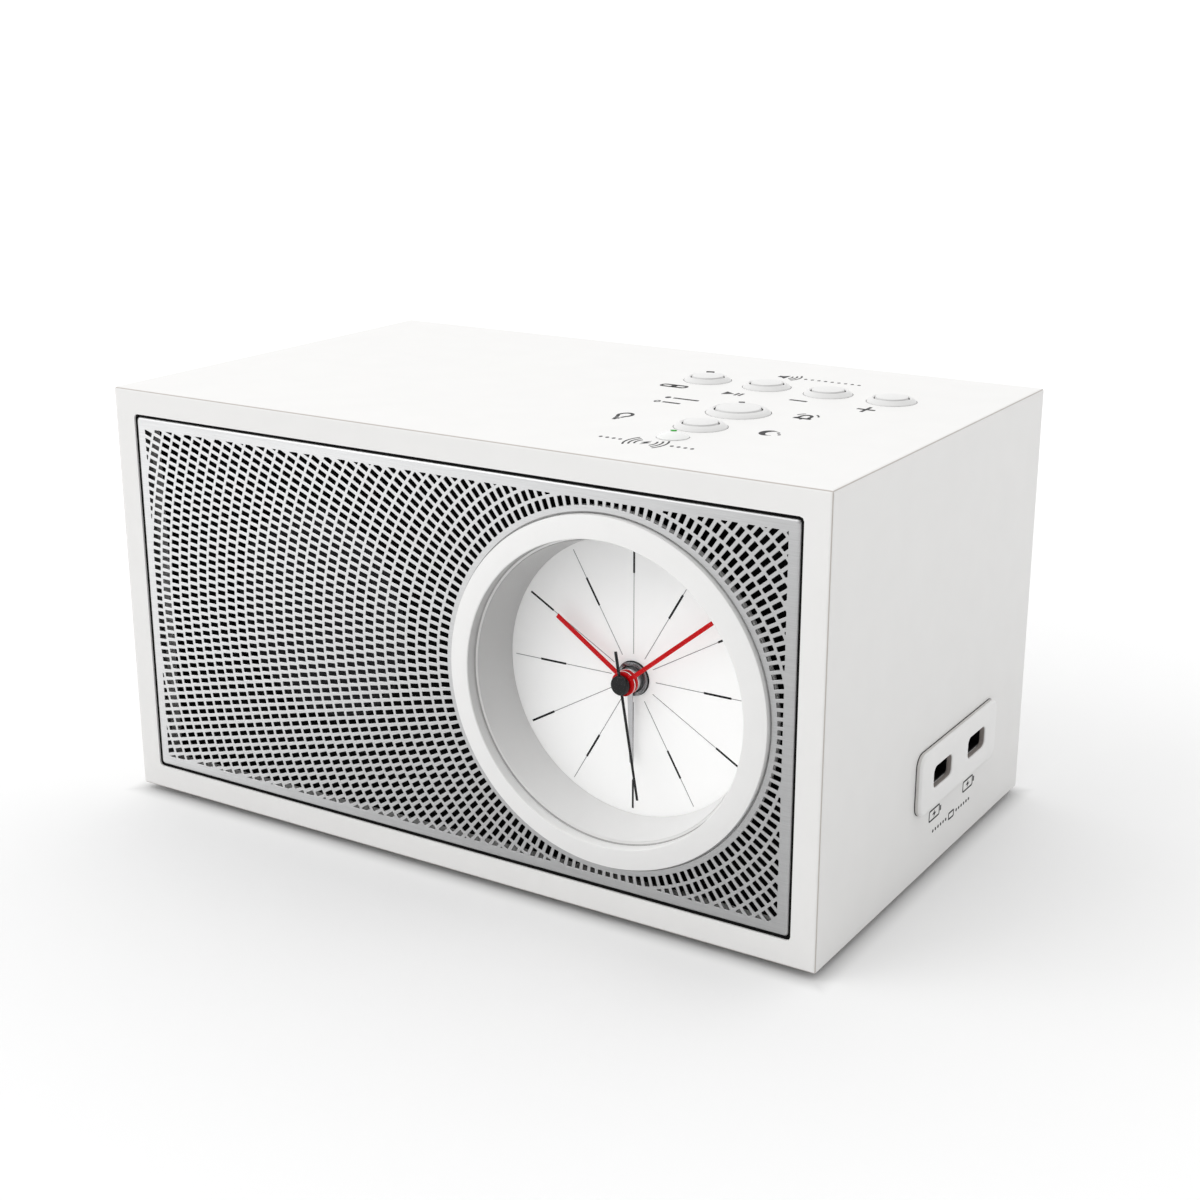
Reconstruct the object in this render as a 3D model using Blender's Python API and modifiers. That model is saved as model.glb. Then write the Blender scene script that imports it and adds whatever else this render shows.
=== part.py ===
"""A bedside clock radio: a white cabinet with a metal grille, an analogue alarm clock, a speaker,
six push buttons and a charging lamp on top, and two USB sockets in its right side.

Lengths are in millimetres, measured from the cabinet: x from its middle, y back from its front
face, z up from its underside. A depth is a y value. The datum empty carries the cabinet into
the world, with the whole object standing on the ground at the world's origin.
"""

import math

import bmesh
import bpy
from mathutils import Matrix, Vector

MM = 0.001
TURN = 2 * math.pi
SLACK = 0.3
FINE_SLACK = 0.1

# Cabinet
WIDTH = 235.0
DEPTH = 144.0
HEIGHT = 127.0
EDGE_ROUND = 0.7
FRAME_WIDTH = 7.4
FRAME_DEPTH = 10.0
FRAME_CORNER = 1.2
WALL = 3.5
BOSS_SIZE = 8.5
BOSS_DEPTHS = (14.0, 135.2)
INNER_X = WIDTH / 2 - WALL
INNER_TOP = HEIGHT - WALL

# Feet
FOOT_HEIGHT = 2.0
FOOT_RADIUS = 7.0
FOOT_PEG = 2.0
FOOT_PLACES = [(x, y) for x in (-95.0, 95.0) for y in (20.0, 124.0)]

# Grille and the board behind it
GRILLE_GAP = 0.8
GRILLE_SHEET = 0.8
GRILLE_FOLD = 5.0
BAFFLE_DEPTHS = (10.3, 13.3)

# Clock: the depths of its parts, and the sizes of its gears
CLOCK_X = 54.0
CLOCK_Z = HEIGHT / 2
BEZEL_PROUD = 2.5
BEZEL_EDGE = 1.3
BEZEL_RADIUS = 48.5
DIAL_DEPTH = 15.0
CASE_HALF = 28.0
CASE_WALL = 1.2
HOUR_ANGLE = 304.24
MINUTE_ANGLE = 50.84
SECOND_ANGLE = 170.4
ALARM_ANGLE = 179.0
FLANGE_RADIUS = 50.6
MINUTE_TEETH = 48
SECOND_PINION = 6
THIRD_TEETH = 45
THIRD_PINION = 6
ROTOR_TEETH = 20
MINUTE_PINION = 8
MOTION_TEETH = 24
MOTION_PINION = 8
HOUR_TEETH = 32
TIME_SET_TEETH = 18
ALARM_TEETH = 28
ALARM_SET_TEETH = 14
KNOB_RIDGES = 20
TRAIN_REACH = 15.0
TRAIN_ANGLE = TURN / 8
MINUTE_MODULE = 2 * TRAIN_REACH / (MINUTE_TEETH + THIRD_PINION)
SECOND_MODULE = 2 * TRAIN_REACH / (THIRD_TEETH + SECOND_PINION)
MOTION_REACH = 9.0
MOTION_ANGLE = 5 * TURN / 8
HOUR_MODULE = 2 * MOTION_REACH / (HOUR_TEETH + MOTION_PINION)
SET_MODULE = 2 * MOTION_REACH / (MINUTE_PINION + MOTION_TEETH)
SET_REACH = (MOTION_TEETH + TIME_SET_TEETH) * SET_MODULE / 2
ALARM_MODULE = 0.78
ALARM_REACH = (ALARM_TEETH + ALARM_SET_TEETH) * ALARM_MODULE / 2
ALARM_SET_ANGLE = 7 * TURN / 8
TOOTH_TIP = 0.7
TOOTH_ROOT = 0.95
TIP_HALF = 0.10
ROOT_HALF = 0.26

# Speaker
SPEAKER_X = -53.0
SPEAKER_HOLE = 34.0

# Buttons on top: name, x, y, ring radius, cap radius
BUTTONS = [
    ("pair", 27.0, 102.3, 7.2, 4.9),
    ("play", 47.0, 102.3, 7.2, 4.9),
    ("minus", 67.0, 102.3, 7.2, 4.9),
    ("plus", 87.0, 102.3, 7.2, 4.9),
    ("alarm", 57.0, 65.8, 9.2, 6.6),
    ("snooze", 57.0, 44.3, 7.4, 4.9),
]
RING_SLACK = 0.15
RING_HEIGHT = 1.7
CAP_HEIGHT = 2.3
CAP_SLACK = 0.25
FLANGE = 1.0
LAMP_PLACE = (57.0, 29.4)
LAMP_RADIUS = 4.4
BOARD_THICK = 1.6
BUTTON_BOARD_Z = 112.0
POSTS_TOP = [(37.0, 95.0), (77.0, 95.0), (64.5, 54.8)]

# USB panel on the right side
PANEL_PROUD = 1.8
PANEL_Y = 88.6
PANEL_Z = 29.5
PANEL_SIZE = (56.6, 18.4)
PANEL_CORNER = 3.5
PORT_HOLE = (13.3, 6.5)
PORT_SPACING = 25.3
SOCKET_SIZE = (13.1, 5.7)
SOCKET_X = (98.3, 117.3)

# Charging coil, main board, rear panel and inlet
COIL_PLACE = (-56.0, 74.0)
MAIN_BOARD = ((-100.0, 40.0, 12.0), (30.0, 125.0, 12.0 + BOARD_THICK))
POSTS_BOTTOM = [(x, y) for x in (-94.0, 24.0) for y in (46.0, 119.0)]
REAR_DEPTHS = (135.5, 138.0)
REAR_HALF = INNER_X - SLACK
SCREW_RADIUS = 1.3
JACK_PLACE = (-60.0, 24.0)

# Finishes: colour, roughness, metallic
WHITE_SATIN = ((0.84, 0.84, 0.83), 0.42, 0.0)
ALUMINIUM = ((0.72, 0.72, 0.71), 0.35, 1.0)
BLACK_BOARD = ((0.01, 0.01, 0.01), 0.8, 0.0)
CLEAR = ((0.95, 0.95, 0.95), 0.05, 0.0)
DIAL_WHITE = ((0.9, 0.9, 0.89), 0.5, 0.0)
BLACK_SATIN = ((0.02, 0.02, 0.02), 0.4, 0.0)
RED = ((0.6, 0.0, 0.0), 0.35, 0.0)
SILVER = ((0.6, 0.6, 0.6), 0.3, 1.0)
STEEL = ((0.5, 0.5, 0.5), 0.35, 1.0)
BRASS = ((0.72, 0.52, 0.22), 0.3, 1.0)
COPPER = ((0.7, 0.3, 0.15), 0.35, 1.0)
GREY_PLASTIC = ((0.3, 0.3, 0.31), 0.5, 0.0)
MILKY = ((0.8, 0.82, 0.8), 0.35, 0.0)
RUBBER = ((0.03, 0.03, 0.03), 0.85, 0.0)
PAPER = ((0.04, 0.04, 0.045), 0.8, 0.0)
FERRITE = ((0.08, 0.08, 0.085), 0.6, 0.0)
CIRCUIT_GREEN = ((0.02, 0.16, 0.06), 0.45, 0.0)


def clear_scene():
    for obj in list(bpy.data.objects):
        bpy.data.objects.remove(obj, do_unlink=True)


def new_collection(name):
    made = bpy.data.collections.new(name)
    bpy.context.scene.collection.children.link(made)
    return made


def new_datum():
    """The empty that every part hangs from, at the middle of the cabinet's front bottom edge."""
    datum = bpy.data.objects.new("datum", None)
    datum.location = (
        -PANEL_PROUD / 2 * MM,
        -(DEPTH - BEZEL_PROUD) / 2 * MM,
        FOOT_HEIGHT * MM,
    )
    PARTS.objects.link(datum)
    return datum


def coat(obj, finish):
    """Gives the object a material of its own."""
    colour, roughness, metallic = finish
    material = bpy.data.materials.new(obj.name)
    material.use_nodes = True
    shader = material.node_tree.nodes["Principled BSDF"]
    shader.inputs["Base Color"].default_value = (*colour, 1)
    shader.inputs["Roughness"].default_value = roughness
    shader.inputs["Metallic"].default_value = metallic
    if finish is CLEAR:
        shader.inputs["Transmission Weight"].default_value = 1
    material.diffuse_color = (*colour, 1)
    obj.data.materials.clear()
    obj.data.materials.append(material)


def add(name, mesh, finish=None, place=(0, 0, 0), turn=(0, 0, 0)):
    """Adds an object: a part if it has a finish, and otherwise a helper that isn't rendered."""
    obj = bpy.data.objects.new(name, mesh)
    obj.location = Vector(place) * MM
    obj.rotation_euler = turn
    obj.parent = DATUM
    if finish:
        PARTS.objects.link(obj)
        coat(obj, finish)
    else:
        HELPERS.objects.link(obj)
        obj.hide_render = True
        obj.display_type = "WIRE"
    return obj


def block(bm, low, high):
    """Adds a closed box between two opposite corners."""
    low, high = Vector(low) * MM, Vector(high) * MM
    corners = bmesh.ops.create_cube(bm, size=1)["verts"]
    bmesh.ops.scale(bm, vec=high - low, verts=corners)
    bmesh.ops.translate(bm, vec=(low + high) / 2, verts=corners)


def rod(bm, start, end, radius, sides=24):
    """Adds a closed cylinder between the middles of its two ends."""
    start, end = Vector(start) * MM, Vector(end) * MM
    run = end - start
    bmesh.ops.create_cone(
        bm,
        cap_ends=True,
        segments=sides,
        radius1=radius * MM,
        radius2=radius * MM,
        depth=run.length,
        matrix=Matrix.Translation((start + end) / 2) @ run.to_track_quat("Z", "Y").to_matrix().to_4x4(),
    )


def mesh_of(bm):
    mesh = bpy.data.meshes.new("solid")
    bm.to_mesh(mesh)
    bm.free()
    return mesh


def blocks(*corner_pairs):
    bm = bmesh.new()
    for low, high in corner_pairs:
        block(bm, low, high)
    return mesh_of(bm)


def rods(*specs):
    bm = bmesh.new()
    for spec in specs:
        rod(bm, *spec)
    return mesh_of(bm)


def outline_mesh(loops, low, high):
    """A plate from z = low to z = high, with the first loop as its edge and the others as holes."""
    curve = bpy.data.curves.new("outline", "CURVE")
    curve.dimensions = "2D"
    curve.fill_mode = "BOTH"
    curve.extrude = (high - low) / 2 * MM
    for loop in loops:
        spline = curve.splines.new("POLY")
        spline.points.add(len(loop) - 1)
        for point, (x, y) in zip(spline.points, loop):
            point.co = (x * MM, y * MM, 0, 1)
        spline.use_cyclic_u = True
    obj = bpy.data.objects.new("outline", curve)
    HELPERS.objects.link(obj)
    mesh = baked(obj)
    bpy.data.objects.remove(obj, do_unlink=True)
    bpy.data.curves.remove(curve)
    mesh.transform(Matrix.Translation((0, 0, (low + high) / 2 * MM)))
    return mesh


def baked(obj):
    """The object's mesh as its modifiers leave it, with loose caps welded."""
    bpy.context.view_layer.update()
    graph = bpy.context.evaluated_depsgraph_get()
    mesh = bpy.data.meshes.new_from_object(obj.evaluated_get(graph))
    bm = bmesh.new()
    bm.from_mesh(mesh)
    bmesh.ops.remove_doubles(bm, verts=bm.verts, dist=0.00001)
    bm.to_mesh(mesh)
    bm.free()
    return mesh


def circle(radius, centre=(0, 0), sides=24):
    return [
        (centre[0] + radius * math.cos(TURN * i / sides), centre[1] + radius * math.sin(TURN * i / sides))
        for i in range(sides)
    ]


def rectangle(low, high):
    return [(low[0], low[1]), (high[0], low[1]), (high[0], high[1]), (low[0], high[1])]


def rounded_rectangle(size, corner, centre=(0, 0), sides=5):
    """A rectangle with round corners, each drawn with the given number of sides."""
    points = []
    for quarter, (sx, sy) in enumerate([(1, 1), (-1, 1), (-1, -1), (1, -1)]):
        middle_x = centre[0] + sx * (size[0] / 2 - corner)
        middle_y = centre[1] + sy * (size[1] / 2 - corner)
        for i in range(sides + 1):
            angle = TURN / 4 * (quarter + i / sides)
            points.append((middle_x + corner * math.cos(angle), middle_y + corner * math.sin(angle)))
    return points


def gear_outline(teeth, module, phase=0.0):
    """A gear's toothed edge, with the middle of a tooth at the phase angle."""
    pitch_radius = module * teeth / 2
    root = pitch_radius - TOOTH_ROOT * module
    tip = pitch_radius + TOOTH_TIP * module
    points = []
    for tooth in range(teeth):
        for offset, radius in ((-ROOT_HALF, root), (-TIP_HALF, tip), (TIP_HALF, tip), (ROOT_HALF, root)):
            angle = phase + TURN * (tooth + offset) / teeth
            points.append((radius * math.cos(angle), radius * math.sin(angle)))
    return points


def meshing_phase(teeth_a, phase_a, direction, teeth_b):
    """The phase of gear b that puts its gap opposite a tooth of gear a, b lying in this direction."""
    along_a = (direction - phase_a) * teeth_a / TURN
    return direction + TURN / 2 - (0.5 - along_a) * TURN / teeth_b


def revolve(obj, steps):
    """Turns the object's profile about its own Z axis."""
    screw = obj.modifiers.new("turned", "SCREW")
    screw.steps = steps
    screw.render_steps = steps
    screw.use_merge_vertices = True
    screw.merge_threshold = 0.00001
    screw.use_smooth_shade = True


def profile_mesh(profile):
    """A profile of (radius, height) points, open if it starts on the axis and closed if not."""
    mesh = bpy.data.meshes.new("profile")
    points = [(radius * MM, 0, height * MM) for radius, height in profile]
    edges = [(i, i + 1) for i in range(len(points) - 1)]
    if profile[0][0] > 0:
        edges.append((len(points) - 1, 0))
    mesh.from_pydata(points, edges, [])
    return mesh


def turned(name, profile, finish=None, place=(0, 0, 0), steps=32):
    """A shape turned about a vertical axis. Its profile runs down the outer side, then up the bore."""
    obj = add(name, profile_mesh(profile), finish, place)
    revolve(obj, steps)
    return obj


def facing(name, profile, finish=None, centre=(CLOCK_X, CLOCK_Z), steps=32):
    """A shape turned about an axis from front to back. Its profile is (radius, depth) points."""
    heights = [(radius, -depth) for radius, depth in profile]
    obj = add(name, profile_mesh(heights), finish, (centre[0], 0, centre[1]), (TURN / 4, 0, 0))
    revolve(obj, steps)
    return obj


def facing_plate(name, loops, depths, finish=None, centre=(CLOCK_X, CLOCK_Z), clockwise=0.0):
    """A flat plate that faces the front, its outline drawn as seen from there."""
    mesh = outline_mesh(loops, -depths[1], -depths[0])
    turn = (TURN / 4, math.radians(clockwise), 0)
    return add(name, mesh, finish, (centre[0], 0, centre[1]), turn)


def change(target, operation, *tools):
    """Joins each tool to the target, or cuts it away, in turn."""
    for tool in tools:
        modifier = target.modifiers.new(tool.name, "BOOLEAN")
        modifier.operation = operation
        modifier.object = tool
        modifier.solver = "EXACT"


def cut(target, *tools):
    change(target, "DIFFERENCE", *tools)


def join(target, *tools):
    change(target, "UNION", *tools)


def round_edges(obj, width, segments, angle=None):
    bevel = obj.modifiers.new("rounded", "BEVEL")
    bevel.width = width * MM
    bevel.segments = segments
    if angle is None:
        bevel.limit_method = "NONE"
    else:
        bevel.limit_method = "ANGLE"
        bevel.angle_limit = angle


def clock_point(reach, angle):
    """The place on the front at this distance and direction from the clock's axis."""
    return (CLOCK_X + reach * math.cos(angle), CLOCK_Z + reach * math.sin(angle))


THIRD_AXIS = clock_point(TRAIN_REACH, TRAIN_ANGLE)
MOTION_AXIS = clock_point(MOTION_REACH, MOTION_ANGLE)
TIME_SET_AXIS = clock_point(MOTION_REACH + SET_REACH, MOTION_ANGLE)
ALARM_SET_AXIS = clock_point(ALARM_REACH, ALARM_SET_ANGLE)
BOSS_PLACES = [
    (side * (INNER_X - 3.5), z) for side in (-1, 1) for z in (WALL + 3.5, INNER_TOP - 3.5)
]


# The cabinet


def top_holes():
    """Cutters for the button rings and the lamp."""
    specs = []
    for _, x, y, ring, _ in BUTTONS:
        specs.append(((x, y, HEIGHT - 6), (x, y, HEIGHT + 3), ring + RING_SLACK, 28))
    x, y = LAMP_PLACE
    specs.append(((x, y, HEIGHT - 6), (x, y, HEIGHT + 3), LAMP_RADIUS + RING_SLACK, 16))
    return add("cut_top_holes", rods(*specs))


def inner_posts():
    """Screw bosses in the four corners, and the posts that carry the two boards."""
    bm = bmesh.new()
    for x, z in BOSS_PLACES:
        side = math.copysign(1, x)
        wall_x = side * (INNER_X + 1.5)
        inner_x = wall_x - side * (BOSS_SIZE + 1.5)
        wall_z = 2.0 if z < CLOCK_Z else HEIGHT - 2.0
        inner_z = wall_z + (BOSS_SIZE + 1.5) * (1 if z < CLOCK_Z else -1)
        low = (min(wall_x, inner_x), BOSS_DEPTHS[0], min(wall_z, inner_z))
        high = (max(wall_x, inner_x), BOSS_DEPTHS[1], max(wall_z, inner_z))
        block(bm, low, high)
    for x, y in POSTS_TOP:
        rod(bm, (x, y, BUTTON_BOARD_Z + BOARD_THICK + SLACK), (x, y, INNER_TOP + 1), 2.0, 8)
    for x, y in POSTS_BOTTOM:
        rod(bm, (x, y, WALL - 1), (x, y, MAIN_BOARD[0][2] - SLACK), 3.0, 8)
    return add("join_posts", mesh_of(bm))


def small_holes():
    """Cutters for the screws, the pegs of the feet and the USB sockets."""
    bm = bmesh.new()
    for x, z in BOSS_PLACES:
        rod(bm, (x, 118, z), (x, BOSS_DEPTHS[1] + 2, z), SCREW_RADIUS + 0.2, 10)
    for x, y in FOOT_PLACES:
        rod(bm, (x, y, -1), (x, y, WALL + 1), FOOT_PEG + SLACK, 10)
    for side in (-1, 1):
        y = PANEL_Y + side * PORT_SPACING / 2
        low = (INNER_X - 1, y - SOCKET_SIZE[0] / 2 - SLACK, PANEL_Z - SOCKET_SIZE[1] / 2 - SLACK)
        high = (WIDTH / 2 + 1, y + SOCKET_SIZE[0] / 2 + SLACK, PANEL_Z + SOCKET_SIZE[1] / 2 + SLACK)
        block(bm, low, high)
    return add("cut_small_holes", mesh_of(bm))


def cabinet_shell():
    """A rounded box, open at both ends, with a frame round its front."""
    half = WIDTH / 2
    shell = add("cabinet_shell", blocks(((-half, 0, 0), (half, DEPTH, HEIGHT))), WHITE_SATIN)
    round_edges(shell, EDGE_ROUND, 2)
    size = (WIDTH - 2 * FRAME_WIDTH, HEIGHT - 2 * FRAME_WIDTH)
    opening = facing_plate(
        "cut_front",
        [rounded_rectangle(size, FRAME_CORNER, sides=2)],
        (-1, FRAME_DEPTH + 1),
        centre=(0, HEIGHT / 2),
    )
    cavity = add("cut_cavity", blocks(((-INNER_X, FRAME_DEPTH, WALL), (INNER_X, DEPTH + 1, INNER_TOP))))
    cut(shell, opening, cavity)
    join(shell, inner_posts())
    cut(shell, top_holes(), small_holes())


def rear_panel():
    """The recessed back, with vents and with holes for the knobs, the inlet and the screws."""
    low = (-REAR_HALF, WALL + SLACK)
    high = (REAR_HALF, INNER_TOP - SLACK)
    holes = [circle(1.8, axis, 12) for axis in (TIME_SET_AXIS, ALARM_SET_AXIS)]
    holes.append(circle(4.7, JACK_PLACE, 16))
    holes += [circle(SCREW_RADIUS + 0.4, place, 10) for place in BOSS_PLACES]
    for row in range(6):
        holes.append(rounded_rectangle((44, 2.4), 1.1, (-53, 84 + 5.5 * row), 1))
    facing_plate("rear_panel", [rectangle(low, high)] + holes, REAR_DEPTHS, WHITE_SATIN, (0, 0))


def rear_screws():
    """Four pan-head screws with a cross recess."""
    head = REAR_DEPTHS[1] + SLACK
    profile = [
        (0, -head - 1.8),
        (1.6, -head - 1.7),
        (2.6, -head - 1.0),
        (2.6, -head),
        (SCREW_RADIUS, -head),
        (SCREW_RADIUS, -124),
        (0, -123),
    ]
    master = turned("screw_master", [(r, -h) for r, h in profile], steps=10)
    cross = add(
        "screw_cross",
        blocks(
            ((-1.5, -0.3, head + 1.0), (1.5, 0.3, head + 2.5)),
        ),
    )
    across = add(
        "screw_across",
        blocks(
            ((-0.3, -1.5, head + 1.0), (0.3, 1.5, head + 2.5)),
        ),
    )
    cut(master, cross, across)
    mesh = baked(master)
    for obj in (master, cross, across):
        bpy.data.objects.remove(obj, do_unlink=True)
    for number, (x, z) in enumerate(BOSS_PLACES, 1):
        add(f"rear_screw_{number}", mesh.copy(), STEEL, (x, 0, z), (-TURN / 4, 0, 0))


def feet():
    """Rubber discs, each with a peg that plugs into the underside."""
    profile = [
        (0, WALL - 0.5),
        (FOOT_PEG, WALL - 0.5),
        (FOOT_PEG, -FINE_SLACK),
        (FOOT_RADIUS, -FINE_SLACK),
        (FOOT_RADIUS, -FOOT_HEIGHT + 0.4),
        (FOOT_RADIUS - 0.4, -FOOT_HEIGHT),
        (0, -FOOT_HEIGHT),
    ]
    for number, (x, y) in enumerate(FOOT_PLACES, 1):
        turned(f"foot_{number}", profile, RUBBER, (x, y, 0), 16)


# The front


def grille():
    """A metal tray, open behind, with a round hole for the clock."""
    edge = FRAME_WIDTH + GRILLE_GAP
    low = Vector((-WIDTH / 2 + edge, 0, edge))
    high = Vector((WIDTH / 2 - edge, GRILLE_FOLD + 2, HEIGHT - edge))
    tray = add("grille", blocks((low, high)), ALUMINIUM)
    round_edges(tray, 1.0, 2)
    inset = Vector((GRILLE_SHEET, 0, GRILLE_SHEET))
    hollow_low = low + inset + Vector((0, GRILLE_SHEET, 0))
    hollow_high = high - inset + Vector((0, 2, 0))
    hollow = add("cut_grille_hollow", blocks((hollow_low, hollow_high)))
    back = add("cut_grille_back", blocks(((-WIDTH, GRILLE_FOLD, -5), (WIDTH, GRILLE_FOLD + 9, HEIGHT + 5))))
    spec = ((CLOCK_X, -2, CLOCK_Z), (CLOCK_X, 3, CLOCK_Z), BEZEL_RADIUS + 0.5, 40)
    cut(tray, hollow, back, add("cut_grille_clock", rods(spec)))


def front_baffle():
    """The black board behind the grille, which carries the clock and the speaker."""
    low = (-INNER_X + 0.5, WALL + 0.4)
    high = (INNER_X - 0.5, INNER_TOP - 0.4)
    holes = [circle(43.8, (CLOCK_X, CLOCK_Z), 40), circle(SPEAKER_HOLE, (SPEAKER_X, CLOCK_Z), 32)]
    facing_plate("front_baffle", [rectangle(low, high)] + holes, BAFFLE_DEPTHS, BLACK_BOARD, (0, 0))


def clock_bezel():
    """The ring round the clock, which rises to its lip, and the tapered wall of its well, with a seat
    for the lens."""
    profile = [
        (42.8, -BEZEL_PROUD),
        (47.9, -BEZEL_EDGE - 0.1),
        (48.4, -BEZEL_EDGE + 0.1),
        (BEZEL_RADIUS, -0.8),
        (BEZEL_RADIUS, 1.3),
        (FLANGE_RADIUS, 1.3),
        (FLANGE_RADIUS, 2.5),
        (46.0, 2.5),
        (46.0, BAFFLE_DEPTHS[0] - SLACK),
        (43.3, BAFFLE_DEPTHS[0] - SLACK),
        (43.3, DIAL_DEPTH - FINE_SLACK),
        (39.3, DIAL_DEPTH - FINE_SLACK),
        (41.3, 1.2),
        (42.3, 1.2),
        (42.3, -2.2),
    ]
    facing("clock_bezel", profile, WHITE_SATIN, steps=40)


def clock_lens():
    facing("clock_lens", [(0, -0.3), (42.1, -0.3), (42.1, 1.1), (0, 1.1)], CLEAR, steps=40)


def clock_dial():
    loops = [circle(42.6, sides=40), circle(4.2, sides=16)]
    facing_plate("clock_dial", loops, (DIAL_DEPTH, DIAL_DEPTH + 1), DIAL_WHITE)


def dial_nut():
    """The ring that clamps the dial to the movement's neck."""
    facing("dial_nut", tube(3.6, 4.7, 13.9, DIAL_DEPTH - FINE_SLACK), SILVER, steps=16)


# The clock movement


def case_block(name, front, back, finish=None, inset=0.0):
    half = CASE_HALF - inset
    low = (CLOCK_X - half, front, CLOCK_Z - half)
    high = (CLOCK_X + half, back, CLOCK_Z + half)
    return add(name, blocks((low, high)), finish)


def front_to_back(axis, start, end, radius, sides=12):
    """The ends, radius and sides of a rod along this axis."""
    return ((axis[0], start, axis[1]), (axis[0], end, axis[1]), radius, sides)


def movement_cases():
    """Two halves of a box round the gears, with a neck through the dial and holes for the shafts."""
    middle = (CLOCK_X, CLOCK_Z)
    front = case_block("movement_front_case", 16.3, 25.0, GREY_PLASTIC)
    round_edges(front, 0.6, 1)
    cut(front, case_block("cut_front_case", 17.8, 26.0, inset=CASE_WALL))
    join(front, add("join_neck", rods(front_to_back(middle, 14.1, 17.0, 3.4, 16))))
    pivots = [front_to_back(axis, 15.5, 18.5, 1.15) for axis in (TIME_SET_AXIS, ALARM_SET_AXIS)]
    cut(front, add("cut_front_bores", rods(front_to_back(middle, 13, 18.5, 2.55, 16), *pivots)))

    back = case_block("movement_rear_case", 25.3, 31.8, GREY_PLASTIC)
    round_edges(back, 0.6, 1)
    cut(back, case_block("cut_rear_case", 24.5, 30.6, inset=CASE_WALL))
    bores = [front_to_back(axis, 30, 32.5, 0.5) for axis in (middle, THIRD_AXIS)]
    bores += [front_to_back(axis, 30, 32.5, 1.8) for axis in (TIME_SET_AXIS, ALARM_SET_AXIS)]
    cut(back, add("cut_rear_bores", rods(*bores)))


def movement_mid_plate():
    """The plate between the hands' gears and the time train, with a stud for the motion wheel."""
    half = CASE_HALF - CASE_WALL - 0.4
    low = (CLOCK_X - half, CLOCK_Z - half)
    high = (CLOCK_X + half, CLOCK_Z + half)
    holes = [
        circle(1.4, (CLOCK_X, CLOCK_Z), 12),
        circle(0.5, THIRD_AXIS, 12),
        circle(1.8, TIME_SET_AXIS, 12),
        circle(1.8, ALARM_SET_AXIS, 12),
    ]
    plate = facing_plate("movement_mid_plate", [rectangle(low, high)] + holes, (23.4, 24.4), BRASS, (0, 0))
    join(plate, add("join_stud", rods(front_to_back(MOTION_AXIS, 19.5, 23.9, 0.6))))


def movement_coil():
    """The bobbin of the stepping motor, lying across the case."""
    profile = [
        (0, 12.0),
        (2.8, 12.0),
        (2.8, 11.0),
        (2.3, 11.0),
        (2.3, 1.0),
        (2.8, 1.0),
        (2.8, 0),
        (0, 0),
    ]
    place = (CLOCK_X - 25.0, 27.5, CLOCK_Z + 17.0)
    coil = turned("movement_coil", profile, COPPER, place, 12)
    coil.rotation_euler = (0, TURN / 4, 0)


def wheel(name, profile, gears, finish, centre=(CLOCK_X, CLOCK_Z), steps=12):
    """An arbor or tube with its gears: each is (teeth, module, phase, depths, bore radius)."""
    arbor = facing(name, profile, finish, centre, steps)
    for teeth, module, phase, depths, bore in gears:
        loops = [gear_outline(teeth, module, phase)]
        if bore:
            loops.append(circle(bore, sides=steps))
        join(arbor, facing_plate(f"join_{name}_{teeth}", loops, depths, centre=centre))
    return arbor


def tube(inner, outer, front, back):
    return [(outer, front), (outer, back), (inner, back), (inner, front)]


def time_train():
    """The wheels that drive the second and minute hands."""
    third_phase = meshing_phase(MINUTE_TEETH, 0, TRAIN_ANGLE, THIRD_PINION)
    second_phase = meshing_phase(THIRD_TEETH, 0, TRAIN_ANGLE + TURN / 2, SECOND_PINION)
    minute_gears = [
        (MINUTE_PINION, SET_MODULE, 0, (21.4, 22.8), 0.9),
        (MINUTE_TEETH, MINUTE_MODULE, 0, (25.0, 26.0), 0.9),
    ]
    wheel("minute_wheel", tube(0.65, 1.1, 9.4, 26.2), minute_gears, BRASS)
    third_profile = [
        (0, 23.6),
        (0.35, 23.6),
        (0.35, 24.6),
        (0.7, 24.6),
        (0.7, 30.3),
        (0.35, 30.3),
        (0.35, 31.2),
        (0, 31.2),
    ]
    third_gears = [
        (THIRD_PINION, MINUTE_MODULE, third_phase, (24.7, 26.3), 0),
        (THIRD_TEETH, SECOND_MODULE, 0, (27.0, 28.0), 0),
    ]
    wheel("third_wheel", third_profile, third_gears, BRASS, THIRD_AXIS)
    second_profile = [(0, 8.0), (0.5, 8.0), (0.5, 30.3), (0.35, 30.3), (0.35, 31.2), (0, 31.2)]
    second_gears = [
        (SECOND_PINION, SECOND_MODULE, second_phase, (26.7, 28.3), 0),
        (ROTOR_TEETH, 0.6, 0, (29.0, 29.8), 0),
    ]
    wheel("second_wheel", second_profile, second_gears, STEEL)


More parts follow.
